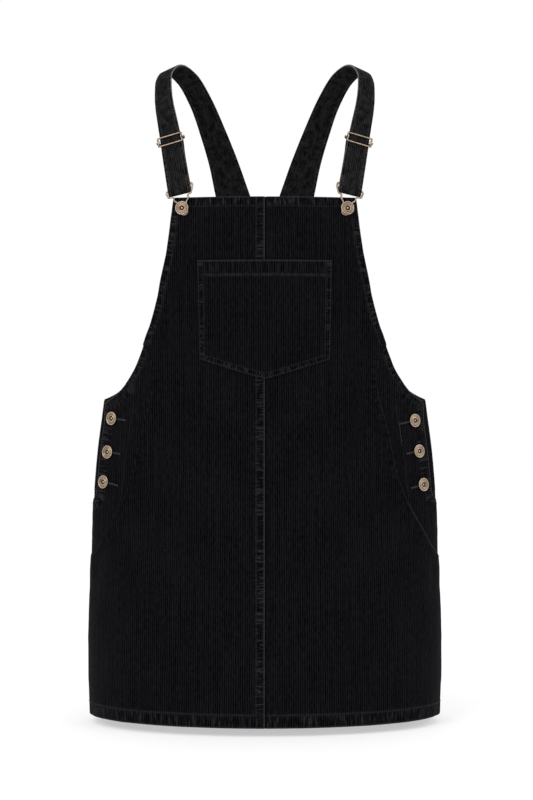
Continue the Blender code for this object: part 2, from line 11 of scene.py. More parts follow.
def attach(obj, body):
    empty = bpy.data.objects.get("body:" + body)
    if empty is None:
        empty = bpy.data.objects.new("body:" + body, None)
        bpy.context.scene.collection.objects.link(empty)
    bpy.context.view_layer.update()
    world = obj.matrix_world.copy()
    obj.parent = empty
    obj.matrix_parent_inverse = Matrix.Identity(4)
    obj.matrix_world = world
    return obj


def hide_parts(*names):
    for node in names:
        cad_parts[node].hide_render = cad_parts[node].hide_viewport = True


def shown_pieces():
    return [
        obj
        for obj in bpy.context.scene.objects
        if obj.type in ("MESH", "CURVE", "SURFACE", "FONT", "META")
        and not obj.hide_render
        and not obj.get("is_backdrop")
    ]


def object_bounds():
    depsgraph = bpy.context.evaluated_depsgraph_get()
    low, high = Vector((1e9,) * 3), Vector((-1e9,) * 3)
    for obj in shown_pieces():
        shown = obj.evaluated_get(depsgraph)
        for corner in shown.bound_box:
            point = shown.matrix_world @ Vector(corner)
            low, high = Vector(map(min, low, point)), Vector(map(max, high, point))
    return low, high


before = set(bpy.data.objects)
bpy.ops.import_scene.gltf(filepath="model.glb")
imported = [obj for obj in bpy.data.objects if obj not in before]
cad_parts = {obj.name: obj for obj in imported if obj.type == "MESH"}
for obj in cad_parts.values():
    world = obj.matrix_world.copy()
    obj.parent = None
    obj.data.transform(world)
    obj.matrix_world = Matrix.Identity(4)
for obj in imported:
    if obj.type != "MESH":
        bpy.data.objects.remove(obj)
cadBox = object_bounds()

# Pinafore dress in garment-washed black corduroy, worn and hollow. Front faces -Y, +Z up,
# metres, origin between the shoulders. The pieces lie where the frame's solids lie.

sides = {"left": -1, "right": 1}  # as seen from the front, with the sign of x


def hexColor(text):
    # sRGB hex to linear
    channels = [int(text[i:i + 2], 16) / 255 for i in (1, 3, 5)]
    linear = [c / 12.92 if c <= 0.04045 else ((c + 0.055) / 1.055) ** 2.4 for c in channels]
    return (*linear, 1.0)


def addObject(name, data):
    item = bpy.data.objects.new(name, data)
    bpy.context.scene.collection.objects.link(item)
    return item


def addMesh(name, shape, *materials):
    mesh = bpy.data.meshes.new(name)
    shape.to_mesh(mesh)
    shape.free()
    for material in materials:
        mesh.materials.append(material)
    return mesh


def sided(name, side):
    return name + side.capitalize()


def addPiece(name, mesh):
    # a piece stands for the frame's node of the same name; stitches stand for none
    piece = addObject(name, mesh)
    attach(piece, "root")
    node = re.sub("([A-Z0-9])", r"_\1", name.replace("backPanel", "back")).lower()
    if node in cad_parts:
        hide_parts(node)
    return piece


def newMaterial(name, shaderValues):
    material = bpy.data.materials.new(name)
    material.use_nodes = True
    shader = material.node_tree.nodes["Principled BSDF"]
    for socket, value in shaderValues.items():
        shader.inputs[socket].default_value = value
    return material, material.node_tree, shader


def addNode(tree, kind, inputs=None, **settings):
    node = tree.nodes.new("ShaderNode" + kind)
    for name, value in settings.items():
        setattr(node, name, value)
    for socket, value in (inputs or {}).items():
        if isinstance(value, bpy.types.NodeSocket):
            tree.links.new(value, node.inputs[socket])
        else:
            node.inputs[socket].default_value = value
    return node


def addNoise(tree, vector, scale, detail=2.0, rough=0.5):
    return addNode(tree, "TexNoise", {"Vector": vector, "Scale": scale, "Detail": detail,
                                      "Roughness": rough}).outputs["Fac"]


def addRamp(tree, value, *stops):
    # stops are pairs of position and colour: the two ends first, then any between
    ramp = addNode(tree, "ValToRGB", {"Fac": value})
    elements = ramp.color_ramp.elements
    for k, (position, color) in enumerate(stops):
        stop = elements[k] if k < 2 else elements.new(position)
        stop.position = position
        stop.color = hexColor(color)
    return ramp.outputs["Color"]


def mottledMaterial(name, scale, dark, light, shaderValues):
    material, tree, shader = newMaterial(name, shaderValues)
    place = addNode(tree, "TexCoord").outputs["Object"]
    color = addRamp(tree, addNoise(tree, place, scale), (0.0, dark), (1.0, light))
    tree.links.new(color, shader.inputs["Base Color"])
    return material


print("camera and light")

view = {"place": (0.0022, -2.4, -0.425), "lens": 84.375, "sensor": 36.0}
cameraData = bpy.data.cameras.new("camera")
cameraData.lens = view["lens"]
cameraData.sensor_width = view["sensor"]
cameraData.sensor_fit = "AUTO"
camera = addObject("camera", cameraData)
camera.location = view["place"]
camera.rotation_euler = (math.pi / 2, 0, 0)  # level, square to the front
bpy.context.scene.camera = camera
bpy.context.scene.view_settings.view_transform = "Standard"  # white stays white

# A bright, even studio, with two large lamps and a floor lit from below so that shadows stay pale
studio = {"fill": 1.0, "aim": (0, 0, -0.4), "floorDrop": 0.010, "floorRadius": 9.0, "floorGlow": 0.48}
lamps = {"keyLight": {"place": (-1.6, -2.0, 1.2), "size": 1.6, "watts": 26.0},
         "sideLight": {"place": (2.2, -0.8, 0.6), "size": 1.4, "watts": 12.0}}
world = bpy.data.worlds.new("studio")
bpy.context.scene.world = world
world.use_nodes = True
background = world.node_tree.nodes["Background"]
background.inputs["Color"].default_value = (1.0, 1.0, 1.0, 1.0)
background.inputs["Strength"].default_value = studio["fill"]

for name, lamp in lamps.items():
    data = bpy.data.lights.new(name, "AREA")
    data.shape = "DISK"
    data.size = lamp["size"]
    data.energy = lamp["watts"]
    item = addObject(name, data)
    item.location = lamp["place"]
    item.rotation_euler = (Vector(studio["aim"]) - item.location).to_track_quat("-Z", "Y").to_euler()

mattPaint = mottledMaterial("mattWhitePaint", 3.0, "#bababa", "#c0c0c0", {
    "Roughness": 0.9, "Emission Color": (1.0, 1.0, 1.0, 1.0), "Emission Strength": studio["floorGlow"]})
floorShape = bmesh.new()
bmesh.ops.create_circle(floorShape, cap_ends=True, segments=64, radius=studio["floorRadius"])
bmesh.ops.translate(floorShape, verts=floorShape.verts[:], vec=(0, 0, cadBox[0][2] - studio["floorDrop"]))
floor = addObject("floor", addMesh("floor", floorShape, mattPaint))
floor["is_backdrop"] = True

# Sizes that the pieces share, the same as in the frame
cloth = {"wall": 0.0015, "turned": 0.0028, "strap": 0.0026, "gap": 0.0003, "layer": 0.0004,
         "edgeRadius": 0.0014}
levels = {"bibTop": -0.1750, "backTop": -0.2100, "frontCorner": -0.4288, "backCorner": -0.4250,
          "pocketStart": -0.3562, "pocketEnd": -0.6260, "placketEnd": -0.5545, "hem": -0.8245}
opening = {"placketSetback": 0.0050, "seamSetback": 0.0025, "standWidth": 0.034, "underlap": 0.010,
           "lift": 0.0021, "liftFade": 0.014, "standDrop": 0.0023, "drawn": 0.0030, "drawnOver": 0.030,
           "closedOver": 0.012}
seamAllowance = {"lap": 0.0045, "lapOver": 0.006, "spare": 0.0002, "rampStart": 0.0034, "rampOver": 0.0032,
                 "hemBand": 0.0160, "hemOver": 0.003}
backArmhole = {"topHalf": 0.0540, "sideHalf": 0.2095, "scoop": 1.35}

# The worn form: half an oval in front and half behind at each level
form = {
    "level": (-0.8300, -0.7710, -0.6940, -0.6170, -0.5400, -0.4890, -0.4380, -0.4000, -0.3400,
              -0.2600, -0.1750, -0.1000),
    "halfWidth": (0.2233, 0.2257, 0.2253, 0.2220, 0.2195, 0.2153, 0.2087, 0.2040, 0.2000,
                  0.2020, 0.2050, 0.2050),
    "frontDepth": (0.1230, 0.1170, 0.1080, 0.0970, 0.0850, 0.0800, 0.0800, 0.0845, 0.0940,
                   0.1020, 0.1000, 0.0950),
    "backDepth": (0.1180, 0.1160, 0.1130, 0.1080, 0.0960, 0.0870, 0.0820, 0.0830, 0.0900,
                  0.0980, 0.0980, 0.0950),
    "pinch": (0.50, 0.53, 0.58, 0.68, 0.80, 0.85, 0.85, 0.80, 0.66, 0.55, 0.50, 0.50),
}
armhole = {
    "level": (-0.4288, -0.4123, -0.3997, -0.3872, -0.3627, -0.3380, -0.3013, -0.2768, -0.2400,
              -0.2020, -0.1750),
    "half": (0.2046, 0.1832, 0.1735, 0.1655, 0.1548, 0.1462, 0.1353, 0.1302, 0.1223, 0.1168, 0.1132),
}
hipEdge = {
    "level": (-0.6063, -0.5783, -0.5525, -0.5174, -0.4686, -0.4312, -0.4051, -0.3902, -0.3727, -0.3562),
    "half": (0.2095, 0.1938, 0.1790, 0.1662, 0.1560, 0.1454, 0.1400, 0.1400, 0.1430, 0.1523),
}


def readTable(table, name, where, key="level"):
    # one smooth curve through a column of a short table
    keys, values = np.array(table[key]), np.array(table[name])
    slopes = np.gradient(values, keys)
    where = np.clip(where, keys[0], keys[-1])
    low = np.clip(np.searchsorted(keys, where, side="right") - 1, 0, len(keys) - 2)
    step = keys[low + 1] - keys[low]
    t = (where - keys[low]) / step
    return (values[low] * (2 * t**3 - 3 * t**2 + 1) + values[low + 1] * (3 * t**2 - 2 * t**3)
            + slopes[low] * step * (t**3 - 2 * t**2 + t) + slopes[low + 1] * step * (t**3 - t**2))


def fade(value):
    # 1 below 0, 0 above 1, smooth between
    value = np.clip(value, 0.0, 1.0)
    return 1.0 - value * value * (3.0 - 2.0 * value)


@lru_cache(maxsize=None)
def ring(level):
    # half a section, from the centre front round the right side to the centre back
    angle = np.linspace(0.0, math.pi, 721)
    width, front, back, pinch = (readTable(form, name, level)
                                 for name in ("halfWidth", "frontDepth", "backDepth", "pinch"))
    x = width * np.sin(angle)
    y = np.where(angle < math.pi / 2, -front, back) * np.abs(np.cos(angle)) ** (2 * pinch)
    reach = np.concatenate(([0.0], np.cumsum(np.hypot(np.diff(x), np.diff(y)))))
    return {"angle": angle, "x": x, "y": y, "reach": reach, "width": width}


def arcReach(level, half, behind=False):
    section = ring(level)
    found = math.asin(min(half / section["width"], 1.0))
    return np.interp(math.pi - found if behind else found, section["angle"], section["reach"])


# The form as a fine lookup: rows are levels, columns run from the centre front to the back
grid = {"low": -0.8360, "high": -0.0800, "step": 0.002, "columns": 480}
gridLevels = np.arange(grid["low"], grid["high"], grid["step"])
gridRings = [ring(level) for level in gridLevels]
gridBack = np.array([section["reach"][-1] for section in gridRings])
gridSide = np.array([np.interp(math.pi / 2, section["angle"], section["reach"]) for section in gridRings])
gridShares = np.linspace(0, 1, grid["columns"] + 1)
gridX, gridY = (np.array([np.interp(gridShares * section["reach"][-1], section["reach"], section[axis])
                          for section in gridRings]) for axis in "xy")


def sideReach(level):
    return np.interp(level, gridLevels, gridSide)


def backReach(level):
    return np.interp(level, gridLevels, gridBack)


def formPoints(level, reach):
    level, reach = np.asarray(level, float), np.asarray(reach, float)
    sign = np.where(reach < 0, -1.0, 1.0)
    share = np.abs(reach) / backReach(level)
    sign = np.where(share > 1, -sign, sign)
    share = np.where(share > 1, 2 - share, share)
    row = np.clip((level - gridLevels[0]) / grid["step"], 0, len(gridLevels) - 1.001)
    column = np.clip(share * grid["columns"], 0, grid["columns"] - 0.001)
    i, j = row.astype(int), column.astype(int)
    a, b = row - i, column - j
    corners = ((i, j, (1 - a) * (1 - b)), (i + 1, j, a * (1 - b)), (i, j + 1, (1 - a) * b),
               (i + 1, j + 1, a * b))
    x, y = (sum(axis[m, n] * weight for m, n, weight in corners) for axis in (gridX, gridY))
    return np.stack([sign * x, y, level], axis=-1)


def formNormals(level, reach, beside=0.003, above=0.006):
    level, reach = np.asarray(level, float), np.asarray(reach, float)
    across = formPoints(level, reach + beside) - formPoints(level, reach - beside)
    share = reach / sideReach(level)
    high, low = level + above, level - above
    along = formPoints(high, share * sideReach(high)) - formPoints(low, share * sideReach(low))
    normal = np.cross(across, along)
    return normal / np.linalg.norm(normal, axis=-1, keepdims=True)


def clothPoints(level, reach, lift):
    return formPoints(level, reach) + formNormals(level, reach) * np.asarray(lift)[..., None]


# Edges of the pieces, as a reach for each level

def seamReach(level):
    return sideReach(level) + opening["seamSetback"]


def armholeReach(level):
    return arcReach(level, readTable(armhole, "half", level))


def placketReach(level):
    return sideReach(level) - opening["placketSetback"]


def hipReach(level):
    low, half = hipEdge["level"][0], hipEdge["half"][0]
    if level >= low:
        return arcReach(level, readTable(hipEdge, "half", level))
    start = arcReach(low, half)
    share = (low - level) / (low - levels["pocketEnd"])
    return start + (seamReach(level) - cloth["gap"] - start) * share


def frontEdgeReach(level):
    if level >= levels["pocketStart"]:
        return armholeReach(level)
    if level > levels["pocketEnd"]:
        return hipReach(level)
    return seamReach(level) - cloth["gap"]


def sideFrontEdgeReach(level, more=0.0):
    if level >= levels["frontCorner"]:
        return armholeReach(level)
    if level > levels["placketEnd"] - 0.0005:
        # it draws back a little below the corner and closes at the foot of the opening
        drawn = opening["drawn"] * (1 - fade((levels["frontCorner"] - level) / opening["drawnOver"]))
        closed = fade((level - levels["placketEnd"]) / opening["closedOver"])
        return sideReach(level) - (opening["placketSetback"] + more + drawn) * (1 - closed)
    return seamReach(level) - cloth["gap"]


def sideFrontInnerReach(level):
    if level > levels["pocketStart"]:
        return sideFrontEdgeReach(level) - opening["underlap"]
    return hipReach(max(level, levels["pocketEnd"])) - opening["underlap"]


def backEdgeReach(level):
    # how far the back goes from the centre back to its side edge
    edge = seamReach(level)
    if level > levels["backCorner"]:
        drop = (levels["backTop"] - level) / (levels["backTop"] - levels["backCorner"])
        across = (1 - min(max(drop, 0.0), 1.0) ** backArmhole["scoop"]) ** (1 / backArmhole["scoop"])
        half = backArmhole["sideHalf"] - (backArmhole["sideHalf"] - backArmhole["topHalf"]) * across
        edge = max(arcReach(level, half, True), edge)
    return backReach(level) - edge


def aroundBack(level, along):
    # a reach from a distance that is measured from the centre back, plus to the right
    total = backReach(level)
    return np.where(along >= 0, total - along, -(total + along))


def seamLap(level, top):
    # how far a front's seam allowance goes under the back, below the given level
    return seamAllowance["lap"] * fade(1 + (level - top) / seamAllowance["lapOver"])


def turnedMore(distance):
    # how much thicker the cloth is at a distance past the foot of a turned edge
    return (cloth["turned"] - cloth["wall"]) * fade(distance)


def seamDip(level, reach):
    # how deep that seam allowance lies, deeper at the turned hem
    s = seamAllowance
    past = np.abs(reach) - sideReach(level) - opening["seamSetback"] + s["rampStart"]
    hem = turnedMore((level - levels["hem"] - s["hemBand"]) / s["hemOver"])
    return (cloth["gap"] + cloth["wall"] + hem + s["spare"]) * (1 - fade(past / s["rampOver"]))


hipLevels = np.arange(levels["pocketEnd"], levels["pocketStart"], 0.002)
hipReaches = np.array([hipReach(level) for level in hipLevels])


hip = {"footStart": 0.004, "footOver": 0.036, "slope": 0.42, "above": 0.011, "below": 0.4, "spare": 0.001}


def hipFoot(level):
    # 1 where the hip pocket's edge runs into the side seam and all the layers are pressed flat
    return fade((level - levels["pocketEnd"] - hip["footStart"]) / hip["footOver"])


def hipLift(level, reach):
    # the front stands off the side front along the hip pocket's edge
    past = level - levels["pocketStart"]
    nearest = np.clip(level, levels["pocketEnd"], levels["pocketStart"])
    edge = np.interp(nearest, hipLevels, hipReaches) - hip["slope"] * np.maximum(past, 0.0)
    beyond = np.where(past > 0, np.maximum(past - hip["above"], 0.0), (nearest - level) * hip["below"])
    inside = np.maximum(edge - opening["underlap"] - hip["spare"] - np.abs(reach), 0.0)
    return opening["lift"] * (1 - 0.5 * hipFoot(level)) * fade(np.hypot(inside, beyond) / opening["liftFade"])


# Soft creases: where each one's middle is, how it runs (degrees from upright, top outward),
# and its own length, width and height. Minus is a trough. Reach is signed, minus to the left.
creases = (
    # reach, level, turn, length, width, height
    (-0.088, -0.226, 28, 0.034, 0.0070, -0.0009), (0.092, -0.231, -24, 0.029, 0.0080, -0.0008),
    (-0.052, -0.207, 70, 0.031, 0.0055, -0.0006), (0.043, -0.212, -76, 0.024, 0.0060, -0.0006),
    (-0.112, -0.300, 12, 0.052, 0.0120, -0.0012), (0.114, -0.318, -10, 0.041, 0.0110, -0.0011),
    (0.128, -0.430, 8, 0.064, 0.0100, -0.0015), (-0.131, -0.446, -6, 0.052, 0.0110, -0.0013),
    (0.143, -0.545, 24, 0.048, 0.0120, -0.0015), (-0.150, -0.560, -19, 0.055, 0.0130, -0.0014),
    (-0.066, -0.478, -5, 0.080, 0.0190, 0.0015), (0.074, -0.520, 4, 0.095, 0.0210, 0.0014),
    (0.031, -0.610, 3, 0.120, 0.0180, -0.0012), (-0.092, -0.655, -4, 0.105, 0.0230, -0.0016),
    (0.158, -0.690, 3, 0.090, 0.0240, 0.0018), (-0.186, -0.705, -2, 0.082, 0.0220, 0.0017),
    (0.112, -0.760, 5, 0.060, 0.0200, -0.0016), (-0.028, -0.742, -3, 0.072, 0.0260, 0.0013),
    (-0.232, -0.640, -8, 0.040, 0.0110, -0.0012), (0.236, -0.652, 10, 0.036, 0.0120, -0.0013),
    (0.196, -0.470, 84, 0.015, 0.0050, -0.0008), (-0.194, -0.471, -82, 0.014, 0.0055, -0.0008),
    (0.203, -0.511, 80, 0.013, 0.0048, -0.0007), (-0.200, -0.510, -86, 0.015, 0.0050, -0.0008),
    (0.335, -0.445, 38, 0.060, 0.0130, -0.0018), (-0.322, -0.452, -33, 0.068, 0.0140, -0.0017),
    (0.402, -0.505, 66, 0.062, 0.0120, -0.0015), (-0.385, -0.520, -72, 0.051, 0.0120, -0.0016),
    (0.430, -0.300, 7, 0.070, 0.0170, 0.0015), (-0.446, -0.285, -9, 0.055, 0.0180, 0.0014),
    (0.352, -0.640, 5, 0.110, 0.0230, -0.0018), (-0.338, -0.668, -4, 0.095, 0.0240, -0.0019),
    (0.465, -0.690, 2, 0.100, 0.0260, 0.0018), (-0.480, -0.640, -3, 0.120, 0.0240, 0.0016),
    (0.300, -0.740, -3, 0.070, 0.0210, 0.0016), (-0.412, -0.755, 4, 0.060, 0.0220, -0.0016),
)


def creaseLift(level, reach):
    total = np.zeros(len(level))
    for middle, height, turn, length, width, rise in creases:
        angle = math.copysign(math.radians(1), middle) * turn
        across, up = reach - middle, level - height
        run = up * math.cos(angle) + across * math.sin(angle)
        off = across * math.cos(angle) - up * math.sin(angle)
        total += rise * np.exp(-(run / length) ** 2 - (off / width) ** 2)
    return total


# Edge lines lie in the flat cloth, as pairs of reach and level

def edgeLine(path, band, worn, ripple, rows=(), seed=0.0, turned=False, start=0.0, end=0.0):
    # how much the fold, its band and the stitched line at its foot are painted lighter: by wear, and on the
    # armholes' folds also by painted light
    return {"path": np.array(path, float), "band": band, "worn": worn, "ripple": ripple, "rows": rows,
            "seed": seed, "turned": turned, "start": start, "end": end}


def edgePath(reachAt, low, high, step=0.004):
    count = max(2, int(math.ceil((high - low) / step)) + 1)
    return [(reachAt(level), level) for level in np.linspace(low, high, count)]


def pathTravel(path):
    return np.concatenate(([0.0], np.cumsum(np.linalg.norm(np.diff(path, axis=0), axis=1))))


def nearestEdge(reach, level, edges):
    # for each point: run along and distance from the edge whose band it is deepest in
    count = len(reach)
    best, free = np.full(count, 1e9), np.full(count, 1e9)
    near = {name: np.zeros(count) for name in ("run", "distance", "band", "ripple")}
    near["worn"] = np.zeros((count, 3))
    for edge in edges:
        path, travel = edge["path"], pathTravel(edge["path"])
        distance, run = np.full(count, 1e9), np.zeros(count)
        for k, leg in enumerate(np.diff(path, axis=0)):
            length = np.hypot(*leg)
            t = np.clip(((reach - path[k, 0]) * leg[0] + (level - path[k, 1]) * leg[1]) / length**2, 0, 1)
            d = np.hypot(reach - path[k, 0] - t * leg[0], level - path[k, 1] - t * leg[1])
            run = np.where(d < distance, travel[k] + t * length, run)
            distance = np.minimum(d, distance)
        free = np.minimum(free, distance)
        nearer = distance / edge["band"] < best
        best = np.where(nearer, distance / edge["band"], best)
        for name, value in (("run", run + edge["seed"]), ("distance", distance), ("band", edge["band"]),
                            ("ripple", edge["ripple"])):
            near[name] = np.where(nearer, value, near[name])
        near["worn"][nearer] = edge["worn"]
    return {**near, "free": free}


def waves(run, seed):
    # an uneven ripple along an edge, from -1 to 1
    shares = ((0.40, 0.071), (0.30, 0.043), (0.18, 0.0263), (0.12, 0.0177))
    return sum(share * np.sin(2 * math.pi * run / length + seed * (1.7 + k))
               for k, (share, length) in enumerate(shares))


def edgeRipple(near, seed):
    return near["ripple"] * waves(near["run"], seed) * fade(near["distance"] / 0.03)


def rollShare(distance, radius):
    # half thickness near a free edge, so the edge is round
    inside = np.clip(distance / radius, 0, 1)
    return np.clip(np.sqrt(1 - (1 - inside) ** 2), 0.3, 1.0)


def nearSpacing(count, near=(0.0, 0.0004, 0.0011, 0.0024, 0.0044)):
    # columns at fixed distances from both ends and evenly spread between: distance = a + b * width
    k = len(near)
    a, b = np.zeros(count + 1), np.zeros(count + 1)
    for c in range(count + 1):
        if c < k:
            a[c] = near[c]
        elif c > count - k:
            a[c], b[c] = -near[count - c], 1.0
        else:
            s = (c - k + 1) / (count - 2 * k + 2)
            a[c], b[c] = near[-1] * (1 - 2 * s), s
    return a, b


def makeWall(name, columns, rows, place, materials):
    # a flat grid given its thickness, then every corner put in its place
    shape = bmesh.new()
    bmesh.ops.create_grid(shape, x_segments=columns, y_segments=rows, size=0.5)
    raised = bmesh.ops.extrude_face_region(shape, geom=shape.faces[:])["geom"]
    corners = [item for item in raised if isinstance(item, bmesh.types.BMVert)]
    bmesh.ops.translate(shape, verts=corners, vec=(0.0, 0.0, 1.0))
    shape.verts.index_update()
    flat = np.array([corner.co[:] for corner in shape.verts])
    column = np.rint((flat[:, 0] + 0.5) * columns).astype(int)
    row = np.rint((flat[:, 1] + 0.5) * rows).astype(int)
    outer = flat[:, 2] > 0.5
    points, grain, seam, worn = place(column, row, outer)
    for corner, point in zip(shape.verts, points):
        corner.co = point
    for face in shape.faces:
        face.smooth = True
        face.material_index = 0 if any(outer[corner.index] for corner in face.verts) else 1
    bmesh.ops.recalc_face_normals(shape, faces=shape.faces[:])
    if shape.calc_volume(signed=True) < 0:
        bmesh.ops.reverse_faces(shape, faces=shape.faces[:])
    mesh = addMesh(name, shape, *materials)
    loops = np.zeros(len(mesh.loops), np.int32)
    mesh.loops.foreach_get("vertex_index", loops)
    for layerName, values in (("grain", grain), ("seam", seam)):
        layer = mesh.uv_layers.new(name=layerName)
        layer.data.foreach_set("uv", values[loops].astype(np.float32).ravel())
    for k, layerName in enumerate(("foldWear", "bandWear", "rowWear")):
        layer = mesh.attributes.new(layerName, "FLOAT", "POINT")
        layer.data.foreach_set("value", worn[:, k].astype(np.float32))
    return addPiece(name, mesh)


print("cloth materials")

# Cotton corduroy, dyed black and garment washed: a dense matt pile in fine upright ribs that
# hardly reflects, worn to grey along every fold and seam, and drawn in by the stitching.
# The armholes' folds are painted lighter still as painted light, and the troughs of the drawn-in folds darker as
# painted shade.
corduroy = {"pitch": 0.0028, "pucker": 0.0023, "wander": 0.0008,
            "heights": {"rib": 0.34, "tuft": 0.12, "streak": 0.14, "pucker": 0.60, "row": -0.35}}


def makeCorduroy(name, groove, rib, worn, wale=1.0, sheen=0.125, blotch=0.12, spread=240.0):
    material, tree, shader = newMaterial(name, {
        "Roughness": 1.0, "Specular IOR Level": 0.0, "Sheen Weight": sheen, "Sheen Roughness": 0.35,
        "Sheen Tint": hexColor("#a8a8b0")})

    def sums(operation, a, b=0.0, c=0.0, clamp=False):
        return addNode(tree, "Math", {0: a, 1: b, 2: c}, operation=operation,
                       use_clamp=clamp).outputs[0]

    def times(first, *others):
        for other in others:
            first = sums("MULTIPLY", first, other)
        return first

    def smoothStep(value, low, high, start=0.0, end=1.0):
        return addNode(tree, "MapRange", {"Value": value, "From Min": low, "From Max": high,
                                          "To Min": start, "To Max": end},
                       interpolation_type="SMOOTHSTEP").outputs["Result"]

    def noise(across, along, detail=2.0, rough=0.5):
        stretched = addNode(tree, "Mapping", {"Vector": grain, "Scale": (across, along, 1.0)})
        return addNoise(tree, stretched.outputs[0], 1.0, detail, rough)

    def centred(value):
        return sums("SUBTRACT", value, 0.5)

    def mixed(share, first, second):
        return addNode(tree, "Mix", {"Factor": share, 6: first, 7: second},
                       data_type="RGBA").outputs[2]

    grain, seam = (addNode(tree, "UVMap", uv_map=layer).outputs["UV"] for layer in ("grain", "seam"))
    foldWear, bandWear, rowWear = (addNode(tree, "Attribute", attribute_name=layer).outputs["Fac"]
                                   for layer in ("foldWear", "bandWear", "rowWear"))
    across = addNode(tree, "SeparateXYZ", {0: grain}).outputs["X"]
    run, depth = addNode(tree, "SeparateXYZ", {0: seam}).outputs[:2]

    # ribs that wander a little, with narrow grooves, some ribs lighter than others
    wander = times(noise(90.0, 14.0), corduroy["wander"])
    phase = times(sums("ADD", across, wander), 2 * math.pi / corduroy["pitch"])
    ridge = sums("POWER", sums("MULTIPLY_ADD", sums("SINE", phase), 0.5, 0.5), 0.8)
    lighter = noise(300.0, 11.0, 1.0)

    # pile: tufts, longer streaks down the ribs, and wash mottling
    streak = noise(520.0, 120.0, 3.0, 0.7)
    tuft = addNoise(tree, grain, 1100.0, 2.0, 0.7)
    mottle = noise(spread, spread * 0.7, 4.0, 0.7)
    cloud = addNoise(tree, grain, 14.0, 3.0)

    # folds drawn in by the stitching, across each seam's band
    pulled = addNode(tree, "CombineXYZ", {"X": times(run, 1 / corduroy["pucker"]),
                                          "Y": times(depth, 0.9)}).outputs[0]
    pucker = addNoise(tree, pulled, 1.0, 1.0)
    inBand = smoothStep(depth, 0.80, 1.25, 1.0, 0.0)
    onFold = smoothStep(depth, 0.02, 0.17, 1.0, 0.0)
    onRow = smoothStep(sums("ABSOLUTE", sums("SUBTRACT", depth, 1.0)), 0.02, 0.17, 1.0, 0.0)

    tone = sums("MULTIPLY_ADD", ridge, 0.56 * wale, 0.28 * (1 - wale) - 0.08)
    for value, share in ((smoothStep(streak, 0.30, 0.70), 0.36), (centred(lighter), 0.45 * wale),
                         (smoothStep(mottle, 0.30, 0.70, -0.5, 0.5), blotch), (centred(cloud), 0.30),
                         (centred(tuft), 0.60)):
        tone = sums("MULTIPLY_ADD", value, share, tone)
    # painted shade: darker in the troughs of the drawn-in folds within each seam's band
    tone = sums("MULTIPLY_ADD", times(inBand, smoothStep(pucker, 0.48, 0.36)), -0.18, tone, True)

    # wear, with painted light on the armholes' folds: brightest on the fold itself, patchy over the drawn-in
    # folds and along the stitching
    atFold = times(onFold, foldWear, smoothStep(pucker, 0.32, 0.64, 0.4, 1.0))
    atTicks = times(inBand, bandWear, smoothStep(pucker, 0.52, 0.66, 0.0, 0.26))
    atRow = times(onRow, rowWear, smoothStep(mottle, 0.38, 0.62, 0.08, 0.26))
    rubbed = sums("MAXIMUM", sums("MAXIMUM", atFold, atTicks), atRow, 0.0, True)
    color = mixed(rubbed, mixed(tone, hexColor(groove), hexColor(rib)), hexColor(worn))
    tree.links.new(color, shader.inputs["Base Color"])

    # height in millimetres
    heights = corduroy["heights"]
    height = times(ridge, heights["rib"] * wale)
    for value, share in ((tuft, heights["tuft"]), (streak, heights["streak"]),
                         (times(pucker, inBand), heights["pucker"]), (onRow, heights["row"])):
        height = sums("MULTIPLY_ADD", value, share, height)
    bump = addNode(tree, "Bump", {"Height": height, "Strength": 1.0, "Distance": 0.001})
    tree.links.new(bump.outputs["Normal"], shader.inputs["Normal"])
    return material


backCorduroy = makeCorduroy("corduroyWrongSide", "#0a0a0b", "#19191b", "#3c3c3e", wale=0.2)
bodyCloth = (makeCorduroy("corduroyGarmentWashed", "#020203", "#1a1a1c", "#3e3e42"), backCorduroy)
# The straps' cloth is painted lighter than the body's: painted light on the straps' tops, which catch the light
strapClothPaintedLighter = (makeCorduroy("corduroyStrapPaintedLighter", "#050505", "#2b2a2a", "#757377", wale=0.75,
                           sheen=0.070, blotch=0.5, spread=130.0),
              makeCorduroy("corduroyStrapUnderPaintedLighter", "#070606", "#282627", "#66646a", wale=0.4,
                           sheen=0.070, blotch=0.6, spread=120.0))

# Core-spun polyester thread: a little smoother and lighter than the pile
thread = mottledMaterial("polyesterThreadSpun", 900.0, "#070708", "#19191b",
                         {"Roughness": 0.6, "Specular IOR Level": 0.25})
# The same thread in a buttonhole or bar tack, packed close and scuffed grey in the wash
scuffed = mottledMaterial("polyesterThreadScuffed", 1100.0, "#1a1a1c", "#4c4c50",
                          {"Roughness": 0.65, "Specular IOR Level": 0.25})

print("cloth")

rowStep = 0.0024
panels = {}


def atRows(function, rowAt, *more):
    return np.array([function(level, *more) for level in rowAt])


def rowLevels(low, high):
    a, b = nearSpacing(int(math.ceil((high - low) / rowStep)) + 8)
    return low + a + b * (high - low)


